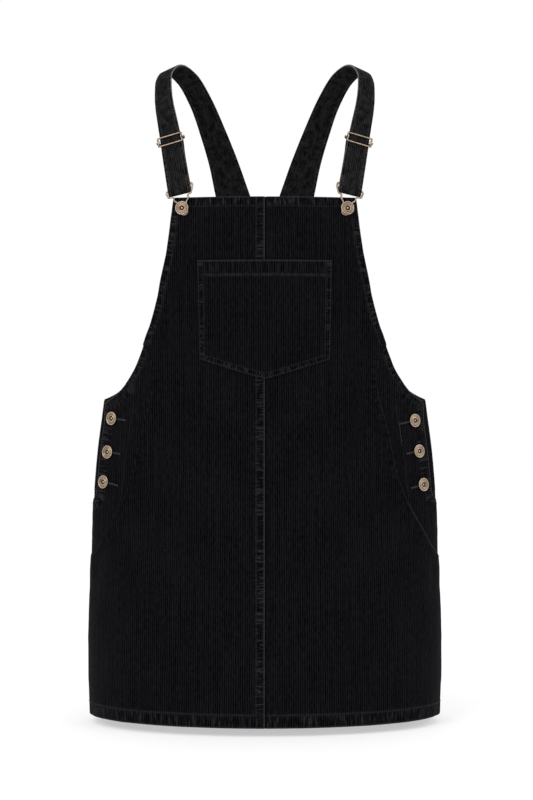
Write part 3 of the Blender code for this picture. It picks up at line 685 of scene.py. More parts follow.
def makePanel(name, style, rowAt, startAt, widthAt, edges, liftAt, toForm, dipAt=None, radiusAt=None):
    # startAt and widthAt: where each row of corners starts and how far it goes. liftAt is the
    # outer face's height off the form, dipAt what goes under the next piece, toForm the reach.
    step = style.get("step", -1)
    a, b = nearSpacing(style["columns"], style["near"])

    def restAt(level, reach):
        return liftAt(level, reach) + edgeRipple(nearestEdge(reach, level, edges), style["wave"])

    def place(column, row, outer):
        level = rowAt[row]
        reach = startAt[row] + step * (a[column] + b[column] * widthAt[row])
        near = nearestEdge(reach, level, edges)
        more = np.zeros(len(reach))
        for edge in edges:
            if edge["turned"]:
                distance = nearestEdge(reach, level, [edge])["distance"]
                more = np.maximum(more, turnedMore((distance - edge["band"]) / 0.002))
        half = (cloth["wall"] + more) / 2
        radius = radiusAt(level) if radiusAt else cloth["edgeRadius"]
        lift = liftAt(level, reach) + edgeRipple(near, style["wave"]) - half
        if dipAt:
            lift = lift - dipAt(level, reach)
        lift = lift + np.where(outer, half, -half) * rollShare(near["free"], radius)
        return (clothPoints(level, toForm(level, reach), lift), np.stack([reach, level], axis=1),
                np.stack([near["run"], near["distance"] / near["band"]], axis=1), near["worn"])

    panels[name] = {"edges": edges, "restAt": restAt, "toForm": toForm}
    return makeWall(name, style["columns"], len(rowAt) - 1, place, bodyCloth)


def mirrored(side):
    return lambda level, reach: sides[side] * reach


# Fronts: the left one is folded under at the centre and laid on the right one
frontStyle = {"columns": 92, "wave": 1.3, "lap": 0.0060, "foldLift": 0.0007, "foot": 0.022,
              "near": (0.0, 0.0004, 0.0011, 0.0024, 0.0044, 0.0058, 0.0066, 0.0075, 0.0086, 0.0100),
              "hemBand": 0.0160, "bibBand": 0.0115, "sideBand": 0.0085, "centreBand": 0.0115,
              "foldStart": 0.010, "foldOver": 0.008, "spare": 0.0008, "dipOver": 0.0032, "footRadius": 0.0070}
# the armholes' fold is painted lighter than wear alone: painted light along the rolled edge
armholeStyle = {"band": 0.0100, "worn": (0.90, 1.0, 0.5), "rows": (0.0085,)}
hemStyle = {"band": 0.0160, "worn": (0.60, 0.90, 0.7), "ripple": 0.0009, "rows": (0.0160,)}


def armholeLine(path, ripple, seed, end=0.0):
    s = armholeStyle
    return edgeLine(path, s["band"], s["worn"], ripple, s["rows"], seed, True, 0.0, end)


def hemLine(inner, outer, seed):
    s = hemStyle
    path = [(inner, levels["hem"]), (outer, levels["hem"])]
    return edgeLine(path, s["band"], s["worn"], s["ripple"], s["rows"], seed, True)


def frontEdges(side):
    s, left = frontStyle, side == "left"
    inner, seed = (0.0, 3.1) if left else (-s["lap"], 7.7)
    top, start, end, turn, hem = (levels[name] for name in (
        "bibTop", "pocketStart", "pocketEnd", "placketEnd", "hem"))
    centre = (s["centreBand"], (0.95, 1.0, 0.15), 0.0002, (0.0015, 0.0100)) if left else (
        0.0035, (0.0, 0.0, 0.0), 0.0002, ())
    hip = ((turn, start - 0.0005, (0.0, 0.0, 0.0) if left else (0.24, 0.20, 0.0), ()),
           (end + 0.0005, turn, (0.0, 0.0, 0.0) if left else (0.62, 0.10, 0.0), () if left else (0.0018,)))
    lines = [
        edgeLine([(inner, hem), (inner, top)], *centre, seed),
        edgeLine([(inner, top), (0.114, top)], s["bibBand"], (0.60, 1.0, 0.25), 0.0004, (s["bibBand"],),
                 seed + 0.9, True, -inner, 0.004),
        armholeLine(edgePath(frontEdgeReach, start + 0.0005, top), 0.0005, seed + 1.7),
        edgeLine(edgePath(frontEdgeReach, hem, end), s["sideBand"], (0.3, 0.7, 0.8), 0.0003, (), seed + 4.1),
        {**hemLine(inner, 0.281, seed + 5.3), "start": -inner},
    ]
    return lines + [edgeLine(edgePath(frontEdgeReach, low, high), s["sideBand"], worn, 0.0003, rows,
                             seed + 2.9, False, 0.001, 0.001) for low, high, worn, rows in hip]


def foldLift(reach):
    return frontStyle["foldLift"] * fade((np.abs(reach) - frontStyle["foldStart"]) / frontStyle["foldOver"])


def frontLift(level, reach, side):
    lift = hipLift(level, reach) + creaseLift(level, reach * sides[side])
    if side == "left":
        return lift + foldLift(reach)
    # the right one dips under the left one, further where the hem and the bib's top are turned
    turned = np.maximum(turnedMore((level - levels["hem"] - frontStyle["hemBand"]) / 0.003),
                        turnedMore((levels["bibTop"] - level - frontStyle["bibBand"]) / 0.003))
    dip = cloth["wall"] + turned - frontStyle["foldLift"] + frontStyle["spare"]
    return lift - dip * fade((reach - cloth["gap"]) / frontStyle["dipOver"])


def makeFront(side):
    rowAt = rowLevels(levels["hem"], levels["bibTop"])
    edgeAt = atRows(frontEdgeReach, rowAt) + seamLap(rowAt, levels["pocketEnd"])
    lap = 0.0 if side == "left" else frontStyle["lap"]

    def radiusAt(level):
        # rounder where the hip pocket's edge runs out
        foot = (np.abs(level - levels["pocketEnd"] - 0.002) - 0.004) / frontStyle["foot"]
        return cloth["edgeRadius"] + frontStyle["footRadius"] * fade(foot)

    def liftAt(level, reach):
        return frontLift(level, reach, side)

    return makePanel(sided("front", side), frontStyle, rowAt, edgeAt, edgeAt - cloth["gap"] / 2 + lap,
                     frontEdges(side), liftAt, mirrored(side), seamDip, radiusAt)


# Side fronts: under the hip pocket's edge, with the buttonholes
sideStyle = {"columns": 40, "wave": 2.1, "near": (0.0, 0.0004, 0.0011, 0.0024), "cornerBand": 0.0170,
             "seamBand": 0.0085, "bend": 0.022, "top": levels["pocketStart"] + 0.010,
             "foot": levels["pocketEnd"] - 0.004, "setback": {"left": -0.0004, "right": 0.0026},
             "seed": {"left": 11.3, "right": 17.9}}


def makeSideFront(side):
    s, seed, more = sideStyle, sideStyle["seed"][side], sideStyle["setback"][side]
    corner, bend = levels["frontCorner"], levels["frontCorner"] + sideStyle["bend"]
    end, seamTop = levels["placketEnd"], levels["pocketEnd"]

    def pathBetween(low, high):
        return edgePath(lambda level: sideFrontEdgeReach(level, more), low, high)

    edges = [
        armholeLine(pathBetween(bend, s["top"]), 0.0004, seed),
        # painted light: the fold at the armhole's front corner is painted at its lightest, a top edge catching
        # light from above, on top of its wear
        edgeLine(pathBetween(corner, bend), s["cornerBand"], (1.0, 0.6, 0.0), 0.0004, armholeStyle["rows"],
                 seed, True),
        edgeLine(pathBetween(end, corner - 0.0005), s["cornerBand"], (1.0, 1.0, 0.0), 0.0003, (0.0060,),
                 seed + 1.1, True),
        edgeLine(pathBetween(seamTop + 0.012, end - 0.001), s["seamBand"], (0.3, 0.8, 1.0), 0.0002, (),
                 seed + 2.3),
    ]
    rowAt = rowLevels(s["foot"], s["top"])
    edgeAt = atRows(sideFrontEdgeReach, rowAt, more)
    edgeAt = edgeAt + np.where(rowAt > seamTop + 0.001, seamLap(rowAt, end), 0.0)
    innerAt = atRows(sideFrontInnerReach, rowAt)

    def liftAt(level, reach):
        return creaseLift(level, reach * sides[side]) * 0.5

    def dipAt(level, reach):
        return 0.0005 * hipFoot(level) + np.where(level < end, seamDip(level, reach), 0.0)

    return makePanel(sided("sideFront", side), s, rowAt, edgeAt, edgeAt - innerAt, edges, liftAt,
                     mirrored(side), dipAt)


# Button stands: strips on the back's side edges, under the plackets
standStyle = {"columns": 18, "wave": 2.1, "near": sideStyle["near"], "lap": 0.0040}


def standDrop(level, reach):
    under = (sideReach(level) - reach) / opening["placketSetback"]
    foot = 1.6 * fade((level - levels["placketEnd"] - 0.006) / 0.010)
    return -opening["standDrop"] * (1 - fade(under + foot))


def makeStand(side):
    rowAt = rowLevels(levels["placketEnd"] + 0.0006, levels["backCorner"])
    outerAt = atRows(seamReach, rowAt) + standStyle["lap"]
    innerAt = atRows(placketReach, rowAt) - opening["standWidth"]
    edges = [edgeLine(list(zip(outerAt, rowAt)), 0.006, (0.3, 0.3, 0.0), 0.0, (), 1.0),
             edgeLine([(innerAt[-1], rowAt[-1]), (outerAt[-1], rowAt[-1])], 0.008, (0.5, 0.4, 0.0), 0.0,
                      (), 2.0)]
    return makePanel(sided("buttonStand", side), standStyle, rowAt, outerAt, outerAt - innerAt, edges,
                     standDrop, mirrored(side), seamDip)


# Back: one piece, from side seam to side seam, its reach measured from the centre back
backStyle = {"columns": 168, "wave": 4.4, "near": (0.0, 0.0004, 0.0011, 0.0024, 0.0044), "step": 1,
             "seamBand": 0.006, "topBand": 0.0100, "topHalf": 0.055, "hemHalf": 0.28}


def makeBack():
    s, edges = backStyle, []
    for sign, seed in ((1, 23.0), (-1, 29.0)):
        def flank(level):
            return sign * backEdgeReach(level)
        edges.append(armholeLine(edgePath(flank, levels["backCorner"], levels["backTop"]), 0.0005, seed, 0.004))
        edges.append(edgeLine(edgePath(flank, levels["hem"], levels["backCorner"]), s["seamBand"],
                              (0.30, 0.30, 0.0), 0.0003, (), seed + 1))
    edges.append(hemLine(-s["hemHalf"], s["hemHalf"], 31.0))
    edges.append(edgeLine([(-s["topHalf"], levels["backTop"]), (s["topHalf"], levels["backTop"])], s["topBand"],
                          (0.55, 0.75, 0.5), 0.0003, (0.0020, s["topBand"]), 33.0, True))
    rowAt = rowLevels(levels["hem"], levels["backTop"])
    edgeAt = atRows(backEdgeReach, rowAt)
    return makePanel("backPanel", s, rowAt, -edgeAt, 2 * edgeAt, edges,
                     lambda level, along: creaseLift(level, aroundBack(level, along)), aroundBack)


# Chest pocket: a patch with a turned hem and a pointed foot
pocketStyle = {"top": -0.2530, "corner": -0.3740, "point": -0.3983, "width": 0.1644, "hem": 0.018,
               "columns": 72, "rows": 62, "band": 0.0072, "rowsOfStitches": (0.0014, 0.0068), "turned": 0.007,
               "turnedMore": 0.0008, "radius": 0.0012, "lift": 0.0005, "hemLift": 0.0006, "sag": 0.8,
               "bag": {"lift": 0.0010, "level": -0.268, "height": 0.022, "width": 0.055}}
pocketWidths = {"level": (-0.3990, -0.3740, -0.2530), "half": (0.0804, 0.0804, 0.0822)}


def pocketReach(level, across):
    half = np.interp(level, pocketWidths["level"], pocketWidths["half"])
    return np.array([arcReach(z, abs(u) * h) * (1 if u >= 0 else -1) for z, u, h in zip(level, across, half)])


def pocketFoot(across):
    s = pocketStyle
    return s["corner"] + (s["point"] - s["corner"]) * (1 - np.abs(across) ** 1.12)


def pocketEdges():
    s = pocketStyle
    side, foot = np.linspace(s["corner"], s["top"], 12), np.linspace(-1, 1, 25)
    right = list(zip(pocketReach(side, np.ones(12)), side))
    left = [(-reach, level) for reach, level in right]
    low = list(zip(pocketReach(pocketFoot(foot), foot), pocketFoot(foot)))
    lines = [edgeLine(path, s["band"], (fold, 0.9, 0.3), 0.0002, s["rowsOfStitches"], seed, True, end, end)
             for path, fold, seed, end in ((right, 0.42, 41.0, 0.0), (left, 0.36, 43.0, 0.0),
                                           (low, 0.55, 45.0, 0.003))]
    return lines + [edgeLine([left[-1], right[-1]], s["hem"], (0.42, 0.25, 0.9), 0.0002, (s["hem"],), 47.0,
                             True)]


def pocketLift(level, reach):
    # over the fronts, a little baggy below the hem
    s, bag = pocketStyle, pocketStyle["bag"]
    under = creaseLift(level, reach) + np.where(reach < 0, foldLift(reach), 0.0) * s["sag"]
    baggy = bag["lift"] * np.exp(-((level - bag["level"]) / bag["height"]) ** 2 - (reach / bag["width"]) ** 2)
    return under + cloth["layer"] + cloth["wall"] + s["lift"] + baggy + s["hemLift"] * pocketHemmed(level)


def pocketHemmed(level):
    return fade((pocketStyle["top"] - level - pocketStyle["hem"]) / 0.002)


def makeChestPocket():
    s, edges = pocketStyle, pocketEdges()
    a, b = nearSpacing(s["columns"])
    c, d = nearSpacing(s["rows"])

    def place(column, row, outer):
        across = (a[column] + b[column] * s["width"]) / s["width"] * 2 - 1
        foot = pocketFoot(across)
        level = foot + c[row] + d[row] * (s["top"] - foot)
        reach = pocketReach(level, across)
        near = nearestEdge(reach, level, edges)
        turned = np.maximum(pocketHemmed(level), fade((near["free"] - s["turned"]) / 0.002))
        half = (cloth["wall"] + s["turnedMore"] * turned) / 2
        lift = pocketLift(level, reach) - half
        lift = lift + np.where(outer, half, -half) * rollShare(near["free"], s["radius"])
        return (clothPoints(level, reach, lift), np.stack([reach + 0.0011, level], axis=1),
                np.stack([near["run"], near["distance"] / near["band"]], axis=1), near["worn"])

    panels["chestPocket"] = {"edges": edges, "restAt": pocketLift, "toForm": lambda level, reach: reach}
    return makeWall("chestPocket", s["columns"], s["rows"], place, bodyCloth)


fronts = {side: makeFront(side) for side in sides}
sideFronts = {side: makeSideFront(side) for side in sides}
stands = {side: makeStand(side) for side in sides}
back = makeBack()
chestPocket = makeChestPocket()

print("straps")

# Straps: the left one's middle line, from the back seam over the shoulder to the buckle's
# bar. turn swings its inner edge forward and rise lifts it, in degrees. The right is mirrored.
strapForm = {
    "x": (-0.0271, -0.0450, -0.0547, -0.0690, -0.0850, -0.1010, -0.1175, -0.1270, -0.1268, -0.1185,
          -0.1110, -0.1051),
    "y": (0.0965, 0.0965, 0.0915, 0.0760, 0.0520, 0.0270, 0.0000, -0.0270, -0.0480, -0.0700, -0.0850, -0.0920),
    "z": (-0.2097, -0.1454, -0.1116, -0.0712, -0.0335, -0.0092, -0.0015, -0.0158, -0.0465, -0.0917,
          -0.1335, -0.1678),
    "width": (0.0532, 0.0440, 0.0385, 0.0335, 0.0295, 0.0285, 0.0285, 0.0285, 0.0285, 0.0285, 0.0288, 0.0290),
    "turn": (-3, -4, -3, 0, 8, 17, 27, 38, 36, 24, 14, 8),
    "rise": (0, 8, 15, 19, 22, 20, 17, 17, 16, 13, 12, 13),
}
strapStyle = {"step": 0.0022, "columns": 16, "stitch": 0.0036, "band": 0.0038, "shoulder": 0.27}
hardware = {"wire": 0.0011, "sliderLength": 0.0162, "sliderHeight": 0.0056, "sliderLevel": -0.1028,
            "knobReach": 0.0192, "slotSlack": 0.0011, "askew": 0.0020}
turnRadius = cloth["strap"] / 2 + cloth["gap"] + hardware["wire"]
strapReturn = {"rise": (0.0, 0.012, 0.050, 0.063, 0.076),
               "spacing": (2 * turnRadius, 0.0036, 0.0036, 0.0056, 0.0056)}

knots = np.stack([strapForm[axis] for axis in "xyz"], axis=1)
strapForm["travel"] = pathTravel(knots)
strapTotal = strapForm["travel"][-1]


def strapFrame(travel):
    # middle, width, inward, along and outward of the left strap at a distance from the back
    def read(name, t=travel):
        return readTable(strapForm, name, t, "travel")

    def middle(t):
        return Vector([read(axis, t) for axis in "xyz"])

    turn, rise = math.radians(read("turn")), math.radians(read("rise"))
    inward = Vector((math.cos(rise) * math.cos(turn), -math.cos(rise) * math.sin(turn), math.sin(rise)))
    along = (middle(travel + 0.002) - middle(travel - 0.002)).normalized()
    return {"middle": middle(travel), "width": read("width"), "inward": inward, "along": along,
            "outward": along.cross(inward).normalized(), "travel": travel}


def strapFrames(turnParts=12):
    # the whole strap: to the bar, round it, and back up behind to its end at the slider
    count = int(math.ceil(strapTotal / strapStyle["step"]))
    route = [strapFrame(strapTotal * i / count) for i in range(count + 1)]
    bar = route[-1]
    pivot = bar["middle"] - bar["outward"] * turnRadius
    result = list(route)
    for i in range(1, turnParts):
        angle = math.pi * i / turnParts
        outward = bar["outward"] * math.cos(angle) + bar["along"] * math.sin(angle)
        along = bar["along"] * math.cos(angle) - bar["outward"] * math.sin(angle)
        result.append({**bar, "middle": pivot + outward * turnRadius, "along": along, "outward": outward,
                       "travel": strapTotal + turnRadius * angle})
    rise, previous = 0.0, bar["middle"]
    for item in reversed(route):
        rise += (item["middle"] - previous).length
        previous = item["middle"]
        if rise > strapReturn["rise"][-1]:
            break
        spacing = readTable(strapReturn, "spacing", rise, "rise")
        result.append({**item, "middle": item["middle"] - item["outward"] * spacing,
                       "width": min(item["width"], bar["width"]), "along": -item["along"],
                       "outward": -item["outward"], "travel": strapTotal + turnRadius * math.pi + rise})
    return route, result


strapRoute, strapWhole = strapFrames()


def makeStrap(side):
    middle, inward, outward, width, travel = (np.array([f[name] for f in strapWhole]) for name in (
        "middle", "inward", "outward", "width", "travel"))
    a, b = nearSpacing(strapStyle["columns"], (0.0, 0.0003, 0.0009, 0.0020, 0.0036))
    ends = np.minimum(travel - travel[0], travel[-1] - travel)
    start = 0.4 if side == "left" else 1.9

    def place(column, row, outer):
        inset = a[column] + b[column] * width[row]
        distance = np.minimum(inset, width[row] - inset)
        offset = inset - width[row] / 2
        dent = 0.00030 * np.exp(-((distance - strapStyle["stitch"]) / 0.0009) ** 2)
        crown = 0.000088 * fade(1 - distance / 0.006)
        half = (cloth["strap"] / 2 - dent + crown) * rollShare(distance, 0.0012)
        half = half * rollShare(ends[row] + 0.0002, 0.0008)
        ripple = 0.00025 * waves(travel[row] * 1.7 + start, 2.2) * fade(distance / 0.008)
        out = np.where(outer, half, -half) + ripple
        points = middle[row] + inward[row] * offset[:, None] + outward[row] * out[:, None]
        points[:, 0] *= -sides[side]
        run = travel[row] + np.where(offset > 0, 3.0, 5.0)
        # rubbed most along the inner edge at the shoulder
        # lighter along the folds near the shoulder, the inner one most: wear, and painted light where the
        # strap's top catches the light
        top = np.exp(-((travel[row] - strapStyle["shoulder"]) / 0.075) ** 2)
        worn = np.tile([0.5, 0.4, 0.9], (len(row), 1))
        worn[:, 0] = np.where(offset > 0, 0.42 + 0.50 * top, 0.40 + 0.20 * top)
        return (points, np.stack([offset + 0.02, travel[row]], axis=1),
                np.stack([run, distance / strapStyle["band"]], axis=1), worn)

    return makeWall(sided("strap", side), strapStyle["columns"], len(strapWhole) - 1, place, strapClothPaintedLighter)


straps = {side: makeStrap(side) for side in sides}

print("metal")

# Zinc alloy buttons and steel wire, plated in antique bronze: warm grey-brown, rubbed bright
# on the high rings and left dark in the hollows, with a painted highlight on the wire's front side.
bronze, bronzeTree, bronzeShader = newMaterial("zincAlloyAntiqueBronze", {"Metallic": 1.0})
bronzePlace = addNode(bronzeTree, "TexCoord").outputs["Object"]
bronzeCloud = addNoise(bronzeTree, bronzePlace, 420.0, 4.0, 0.6)
bronzeSpots = addNode(bronzeTree, "MapRange", {"Value": bronzeCloud, "From Min": 0.3, "From Max": 0.7,
                                               "To Min": -0.12, "To Max": 0.12})
bronzeRubbedAndPaintedLight = addNode(bronzeTree, "Attribute", attribute_name="rubbed")
bronzeTone = addNode(bronzeTree, "Math", {0: bronzeRubbedAndPaintedLight.outputs["Fac"], 1: bronzeSpots.outputs["Result"]},
                     operation="ADD", use_clamp=True)
bronzeColor = addRamp(bronzeTree, bronzeTone.outputs[0], (0.05, "#1a1410"), (0.95, "#c6b39f"), (0.5, "#6c5747"))
bronzeRough = addNode(bronzeTree, "MapRange", {"Value": bronzeCloud, "To Min": 0.26, "To Max": 0.46})
bronzeBump = addNode(bronzeTree, "Bump", {"Height": addNoise(bronzeTree, bronzePlace, 2600.0),
                                          "Strength": 0.5, "Distance": 0.00003})
for socket, value in (("Base Color", bronzeColor), ("Roughness", bronzeRough.outputs["Result"]),
                      ("Normal", bronzeBump.outputs["Normal"])):
    bronzeTree.links.new(value, bronzeShader.inputs[socket])


def finishPiece(name, shape, material, rubbed=None):
    for face in shape.faces:
        face.smooth = True
    if rubbed:
        layer = shape.verts.layers.float.new("rubbed")
        for corner in shape.verts:
            corner[layer] = rubbed(corner)
    return addPiece(name, addMesh(name, shape, material))


# Buttons: a face of turned rings on a short neck, radius and height off the cloth in mm
buttonRings = {
    "radius": (0.0, 1.75, 1.75, 6.9, 8.0, 8.45, 8.50, 8.25, 7.80, 7.30, 6.95, 6.60, 6.25, 5.90, 5.45,
               5.00, 4.60, 4.20, 3.80, 3.45, 3.10, 2.70, 2.20, 1.70, 1.30, 0.85, 0.0),
    "height": (0.0, 0.0, 3.45, 3.50, 3.62, 4.00, 4.45, 4.90, 5.10, 5.00, 4.62, 4.50, 4.66, 4.88, 4.96,
               4.86, 4.60, 4.48, 4.60, 4.84, 4.92, 4.70, 4.12, 4.02, 4.20, 4.62, 4.80),
    "rubbed": (0.1, 0.1, 0.1, 0.1, 0.15, 0.15, 0.30, 0.72, 0.85, 0.74, 0.50, 0.44, 0.56, 0.72, 0.70, 0.52, 0.44,
               0.62, 0.84, 0.74, 0.44, 0.20, 0.08, 0.05, 0.20, 0.95, 1.0),
}
sideButtons = {
    # number, level, distance from the opening's edge, buttonhole's tilt in degrees and length
    "left": ((1, -0.4485, 0.0178, -6, 0.0235), (2, -0.4912, 0.0182, -7, 0.0210),
             (3, -0.5292, 0.0170, -11, 0.0245)),
    "right": ((1, -0.4511, 0.0236, -12, 0.0235), (2, -0.4900, 0.0230, -10, 0.0205),
              (3, -0.5324, 0.0223, -14, 0.0200)),
}
bibButton = {"half": 0.1008, "level": -0.1886, "standoff": 0.0034}
bibReach = arcReach(bibButton["level"], bibButton["half"])


def makeButton(name, level, reach, lift, spinTurn):
    profile = np.array([buttonRings["radius"], buttonRings["height"]]).T
    shape = bmesh.new()
    corners = [shape.verts.new((radius / 1000, 0.0, height / 1000)) for radius, height in profile]
    edges = [shape.edges.new(pair) for pair in zip(corners, corners[1:])]
    bmesh.ops.spin(shape, geom=corners + edges, axis=(0, 0, 1), cent=(0, 0, 0), angle=2 * math.pi, steps=48,
                   use_merge=True)
    bmesh.ops.remove_doubles(shape, verts=shape.verts[:], dist=0.00002)
    normal = Vector(formNormals(level, reach))
    across = Vector((0.0, 0.0, 1.0)).cross(normal).normalized()
    seat = (Matrix.Translation(Vector(clothPoints(level, reach, lift)))
            @ Matrix((across, normal.cross(across), normal)).transposed().to_4x4()
            @ Matrix.Rotation(spinTurn, 4, "Z"))
    bmesh.ops.transform(shape, matrix=seat, verts=shape.verts[:])
    bmesh.ops.recalc_face_normals(shape, faces=shape.faces[:])
    unseat = seat.inverted()

    def rubbed(corner):
        local = unseat @ corner.co * 1000
        nearest = np.hypot(profile[:, 0] - math.hypot(local.x, local.y), profile[:, 1] - local.z).argmin()
        return buttonRings["rubbed"][nearest]

    return finishPiece(name, shape, bronze, rubbed)


for side, sign in sides.items():
    makeButton(sided("bibButton", side), bibButton["level"], sign * bibReach, cloth["gap"], 0.3 * sign)
    for number, level, inset, _, _ in sideButtons[side]:
        makeButton(sided("sideButton", side) + str(number), level, sign * (placketReach(level) - inset),
                   cloth["gap"] - opening["standDrop"], 0.7 * number)


def smoothPoints(points, closed, parts):
    # Catmull-Rom points through a short list
    result = []
    count = len(points)
    for i in range(count if closed else count - 1):
        before = points[(i - 1) % count] if closed or i else points[0]
        start, end = points[i], points[(i + 1) % count]
        after = points[(i + 2) % count] if closed or i + 2 < count else points[-1]
        for k in range(parts):
            t = k / parts
            result.append(0.5 * (2 * start + (end - before) * t
                                 + (2 * before - 5 * start + 4 * end - after) * t**2
                                 + (3 * start - before - 3 * end + after) * t**3))
    return result if closed else result + [points[-1]]


def curveShape(lines, width, roundness, closed=False):
    # lines of points and their radii, made round and turned into one mesh
    curve = bpy.data.curves.new("line", "CURVE")
    curve.dimensions = "3D"
    curve.bevel_depth = width
    curve.bevel_resolution = roundness
    curve.use_fill_caps = not closed
    for line in lines:
        spline = curve.splines.new("POLY")
        spline.points.add(len(line) - 1)
        for spot, (point, radius) in zip(spline.points, line):
            spot.co = (*point, 1.0)
            spot.radius = radius
        spline.use_cyclic_u = closed
    holder = addObject("line", curve)
    bpy.context.view_layer.update()
    mesh = bpy.data.meshes.new_from_object(holder.evaluated_get(bpy.context.evaluated_depsgraph_get()))
    bpy.data.objects.remove(holder)
    shape = bmesh.new()
    shape.from_mesh(mesh)
    bpy.data.meshes.remove(mesh)
    return shape


def makeWire(name, side, points, closed, radii=None):
    points = [(point.x * -sides[side], point.y, point.z) for point in points]
    shape = curveShape([list(zip(points, radii or [1.0] * len(points)))], hardware["wire"], 4, closed)
    bmesh.ops.remove_doubles(shape, verts=shape.verts[:], dist=0.00001)
    bmesh.ops.recalc_face_normals(shape, faces=shape.faces[:])
    shape.normal_update()
    # painted highlight: the wire is painted lighter where it faces the front, towards the camera
    return finishPiece(sided(name, side), shape, bronze,
                       lambda corner: 0.12 + 0.80 * max(0.0, -corner.normal.y) ** 2.5)


def makeSlider(side):
    front = [f for f in strapRoute if f["middle"].y < -0.02]
    frameAt = min(front, key=lambda f: abs(f["middle"].z - hardware["sliderLevel"]))
    out = cloth["strap"] / 2 + cloth["layer"] + hardware["wire"]
    length, height, reach = hardware["sliderLength"], hardware["sliderHeight"], hardware["knobReach"]

    def spot(across, down, lift):
        return (frameAt["middle"] + frameAt["inward"] * across + frameAt["along"] * down
                + frameAt["outward"] * lift)

    corner = ((length - 0.0026, -height), (length - 0.0006, -height + 0.0008), (length + 0.0002, -0.0030),
              (length - 0.0010, 0.0), (length + 0.0002, 0.0030), (length - 0.0006, height - 0.0008),
              (length - 0.0026, height))
    outline = [spot(x, z, out) for x, z in corner] + [spot(-x, -z, out) for x, z in corner]
    makeWire("sliderFrame", side, smoothPoints(outline, True, 7), True)
    half = ((reach, 0.0014), (reach - 0.0006, 0.0012), (reach - 0.0012, 0.0004), (reach - 0.0016, -0.0014),
            (reach - 0.0031, -0.0028), (reach - 0.0070, -out))
    ends = [spot(x, 0.0, lift) for x, lift in half] + [spot(-x, 0.0, lift) for x, lift in reversed(half)]
    points = smoothPoints(ends, False, 5)
    knob = [0.45, 0.95, 1.2, 1.32, 1.3, 1.2, 1.08]
    radii = knob + [1.0] * (len(points) - 2 * len(knob)) + knob[::-1]
    makeWire("sliderBar", side, points, False, radii)


# Buckle: half the wire from the bar's middle to the slot's foot, in mm across and down from
# the bar. forward goes from 0 at the bar to 1 at the button's neck.
buckleWire = {
    "across": (0, 8, 12.6, 13.4, 13.7, 15.3, 16.9, 16.6, 15.2, 13.2, 10.8, 9, 9.4, 8.4, 6, 4.7, 4.6, 3.3, 0),
    "down": (0, 0, 0, -1.4, -3.8, -5.7, -3.8, -1, 2.4, 4.4, 5, 6.8, 8.7, 10.3, 12.5, 15.7, 24.2, 27.6, 28.9),
    "forward": (0, 0, 0, 0, 0, 0, 0, 0, 0, 0.1, 0.1, 0.3, 0.6, 0.8, 1, 1, 1, 1, 1),
}


def makeBuckle(side):
    frameAt = strapRoute[-1]
    bar = frameAt["middle"] - frameAt["outward"] * turnRadius
    neck = Vector(clothPoints(bibButton["level"], -bibReach, bibButton["standoff"] / 2 + cloth["gap"]))
    normal = Vector(formNormals(bibButton["level"], -bibReach))
    down = (frameAt["along"] - normal * frameAt["along"].dot(normal)).normalized()
    across = normal.cross(down)
    neckDown = (neck - bar).dot(frameAt["along"])

    def spot(x, z, forward, half):
        # the eyes beside the strap sit askew
        askew = hardware["askew"] * min(max((x - 0.0132) / 0.0020, 0.0), 1.0)
        atBar = bar + frameAt["inward"] * (half * x) + frameAt["along"] * (z - half * askew)
        atNeck = neck + across * (half * x + hardware["slotSlack"]) + down * (z - neckDown)
        return atBar.lerp(atNeck, forward)

    rows = [(x / 1000, z / 1000, f) for x, z, f in zip(*buckleWire.values())]
    whole = [spot(*row, 1.0) for row in rows] + [spot(*row, -1.0) for row in reversed(rows[1:-1])]
    makeWire("buckle", side, smoothPoints(whole, True, 5), True)


for side in sides:
    makeSlider(side)
    makeBuckle(side)

# The tacks behind the buttons keep their solids
for name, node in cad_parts.items():
    if "tack" in name:
        node.data.materials.clear()
        node.data.materials.append(bronze)

print("stitching")

stitch = {"pitch": 0.0031, "length": 0.0024, "radius": 0.00026, "wobble": 0.00012}
tack = {"pitch": 0.00045, "radius": 0.00026, "skew": 0.0002, "height": 0.0002}
buttonhole = {"stitch": 0.0007, "pitch": 0.00062, "gap": 0.00025, "start": 0.0022, "radius": 0.00030,
              "height": 0.00025}
tackPiece = "barTacksAndButtonholes"
threads = {name: [] for name in ("stitchingFront", "stitchingSides", "stitchingPocket", tackPiece,
                                 "stitchingBack", "stitchingStraps")}


def finishThreads(name):
    # every stitch is a short tapered run, and all of them become one mesh
    taper = ((-0.06, 0.35), (0.14, 1.0), (0.86, 1.0), (1.06, 0.35))
    lines = [[(start.lerp(end, share), radius * size) for share, size in taper]
             for start, end, radius in threads[name]]
    print(name, len(lines))
    finishPiece(name, curveShape(lines, 1.0, 1), scuffed if name == tackPiece else thread)


def onPanel(panel, level, reach, height):
    lift = panel["restAt"](level, reach) + height
    return clothPoints(level, panel["toForm"](level, reach), lift)


def addStitch(name, panel, ends, radius, height):
    # one stitch between two pairs of level and reach
    points = [Vector(onPanel(panel, np.array([level]), np.array([reach]), height)[0]) for level, reach in ends]
    threads[name].append((*points, radius))


def sewRow(name, panel, path, start=0.0, end=0.0, seed=1):
    travel = pathTravel(path)
    count = max(int((travel[-1] - start - end) / stitch["pitch"]), 0)
    jitter = np.random.default_rng(seed).normal(0, stitch["wobble"], (count, 2))
    ends = []
    for half in (-0.5, 0.5):
        at = start + (np.arange(count) + 0.5) * stitch["pitch"] + half * stitch["length"]
        reach, level = (np.interp(at, travel, path[:, k]) + jitter[:, k] for k in (0, 1))
        ends.append(onPanel(panel, level, reach, stitch["radius"] * 0.55))
    threads[name] += [(Vector(a), Vector(b), stitch["radius"]) for a, b in zip(*ends)]


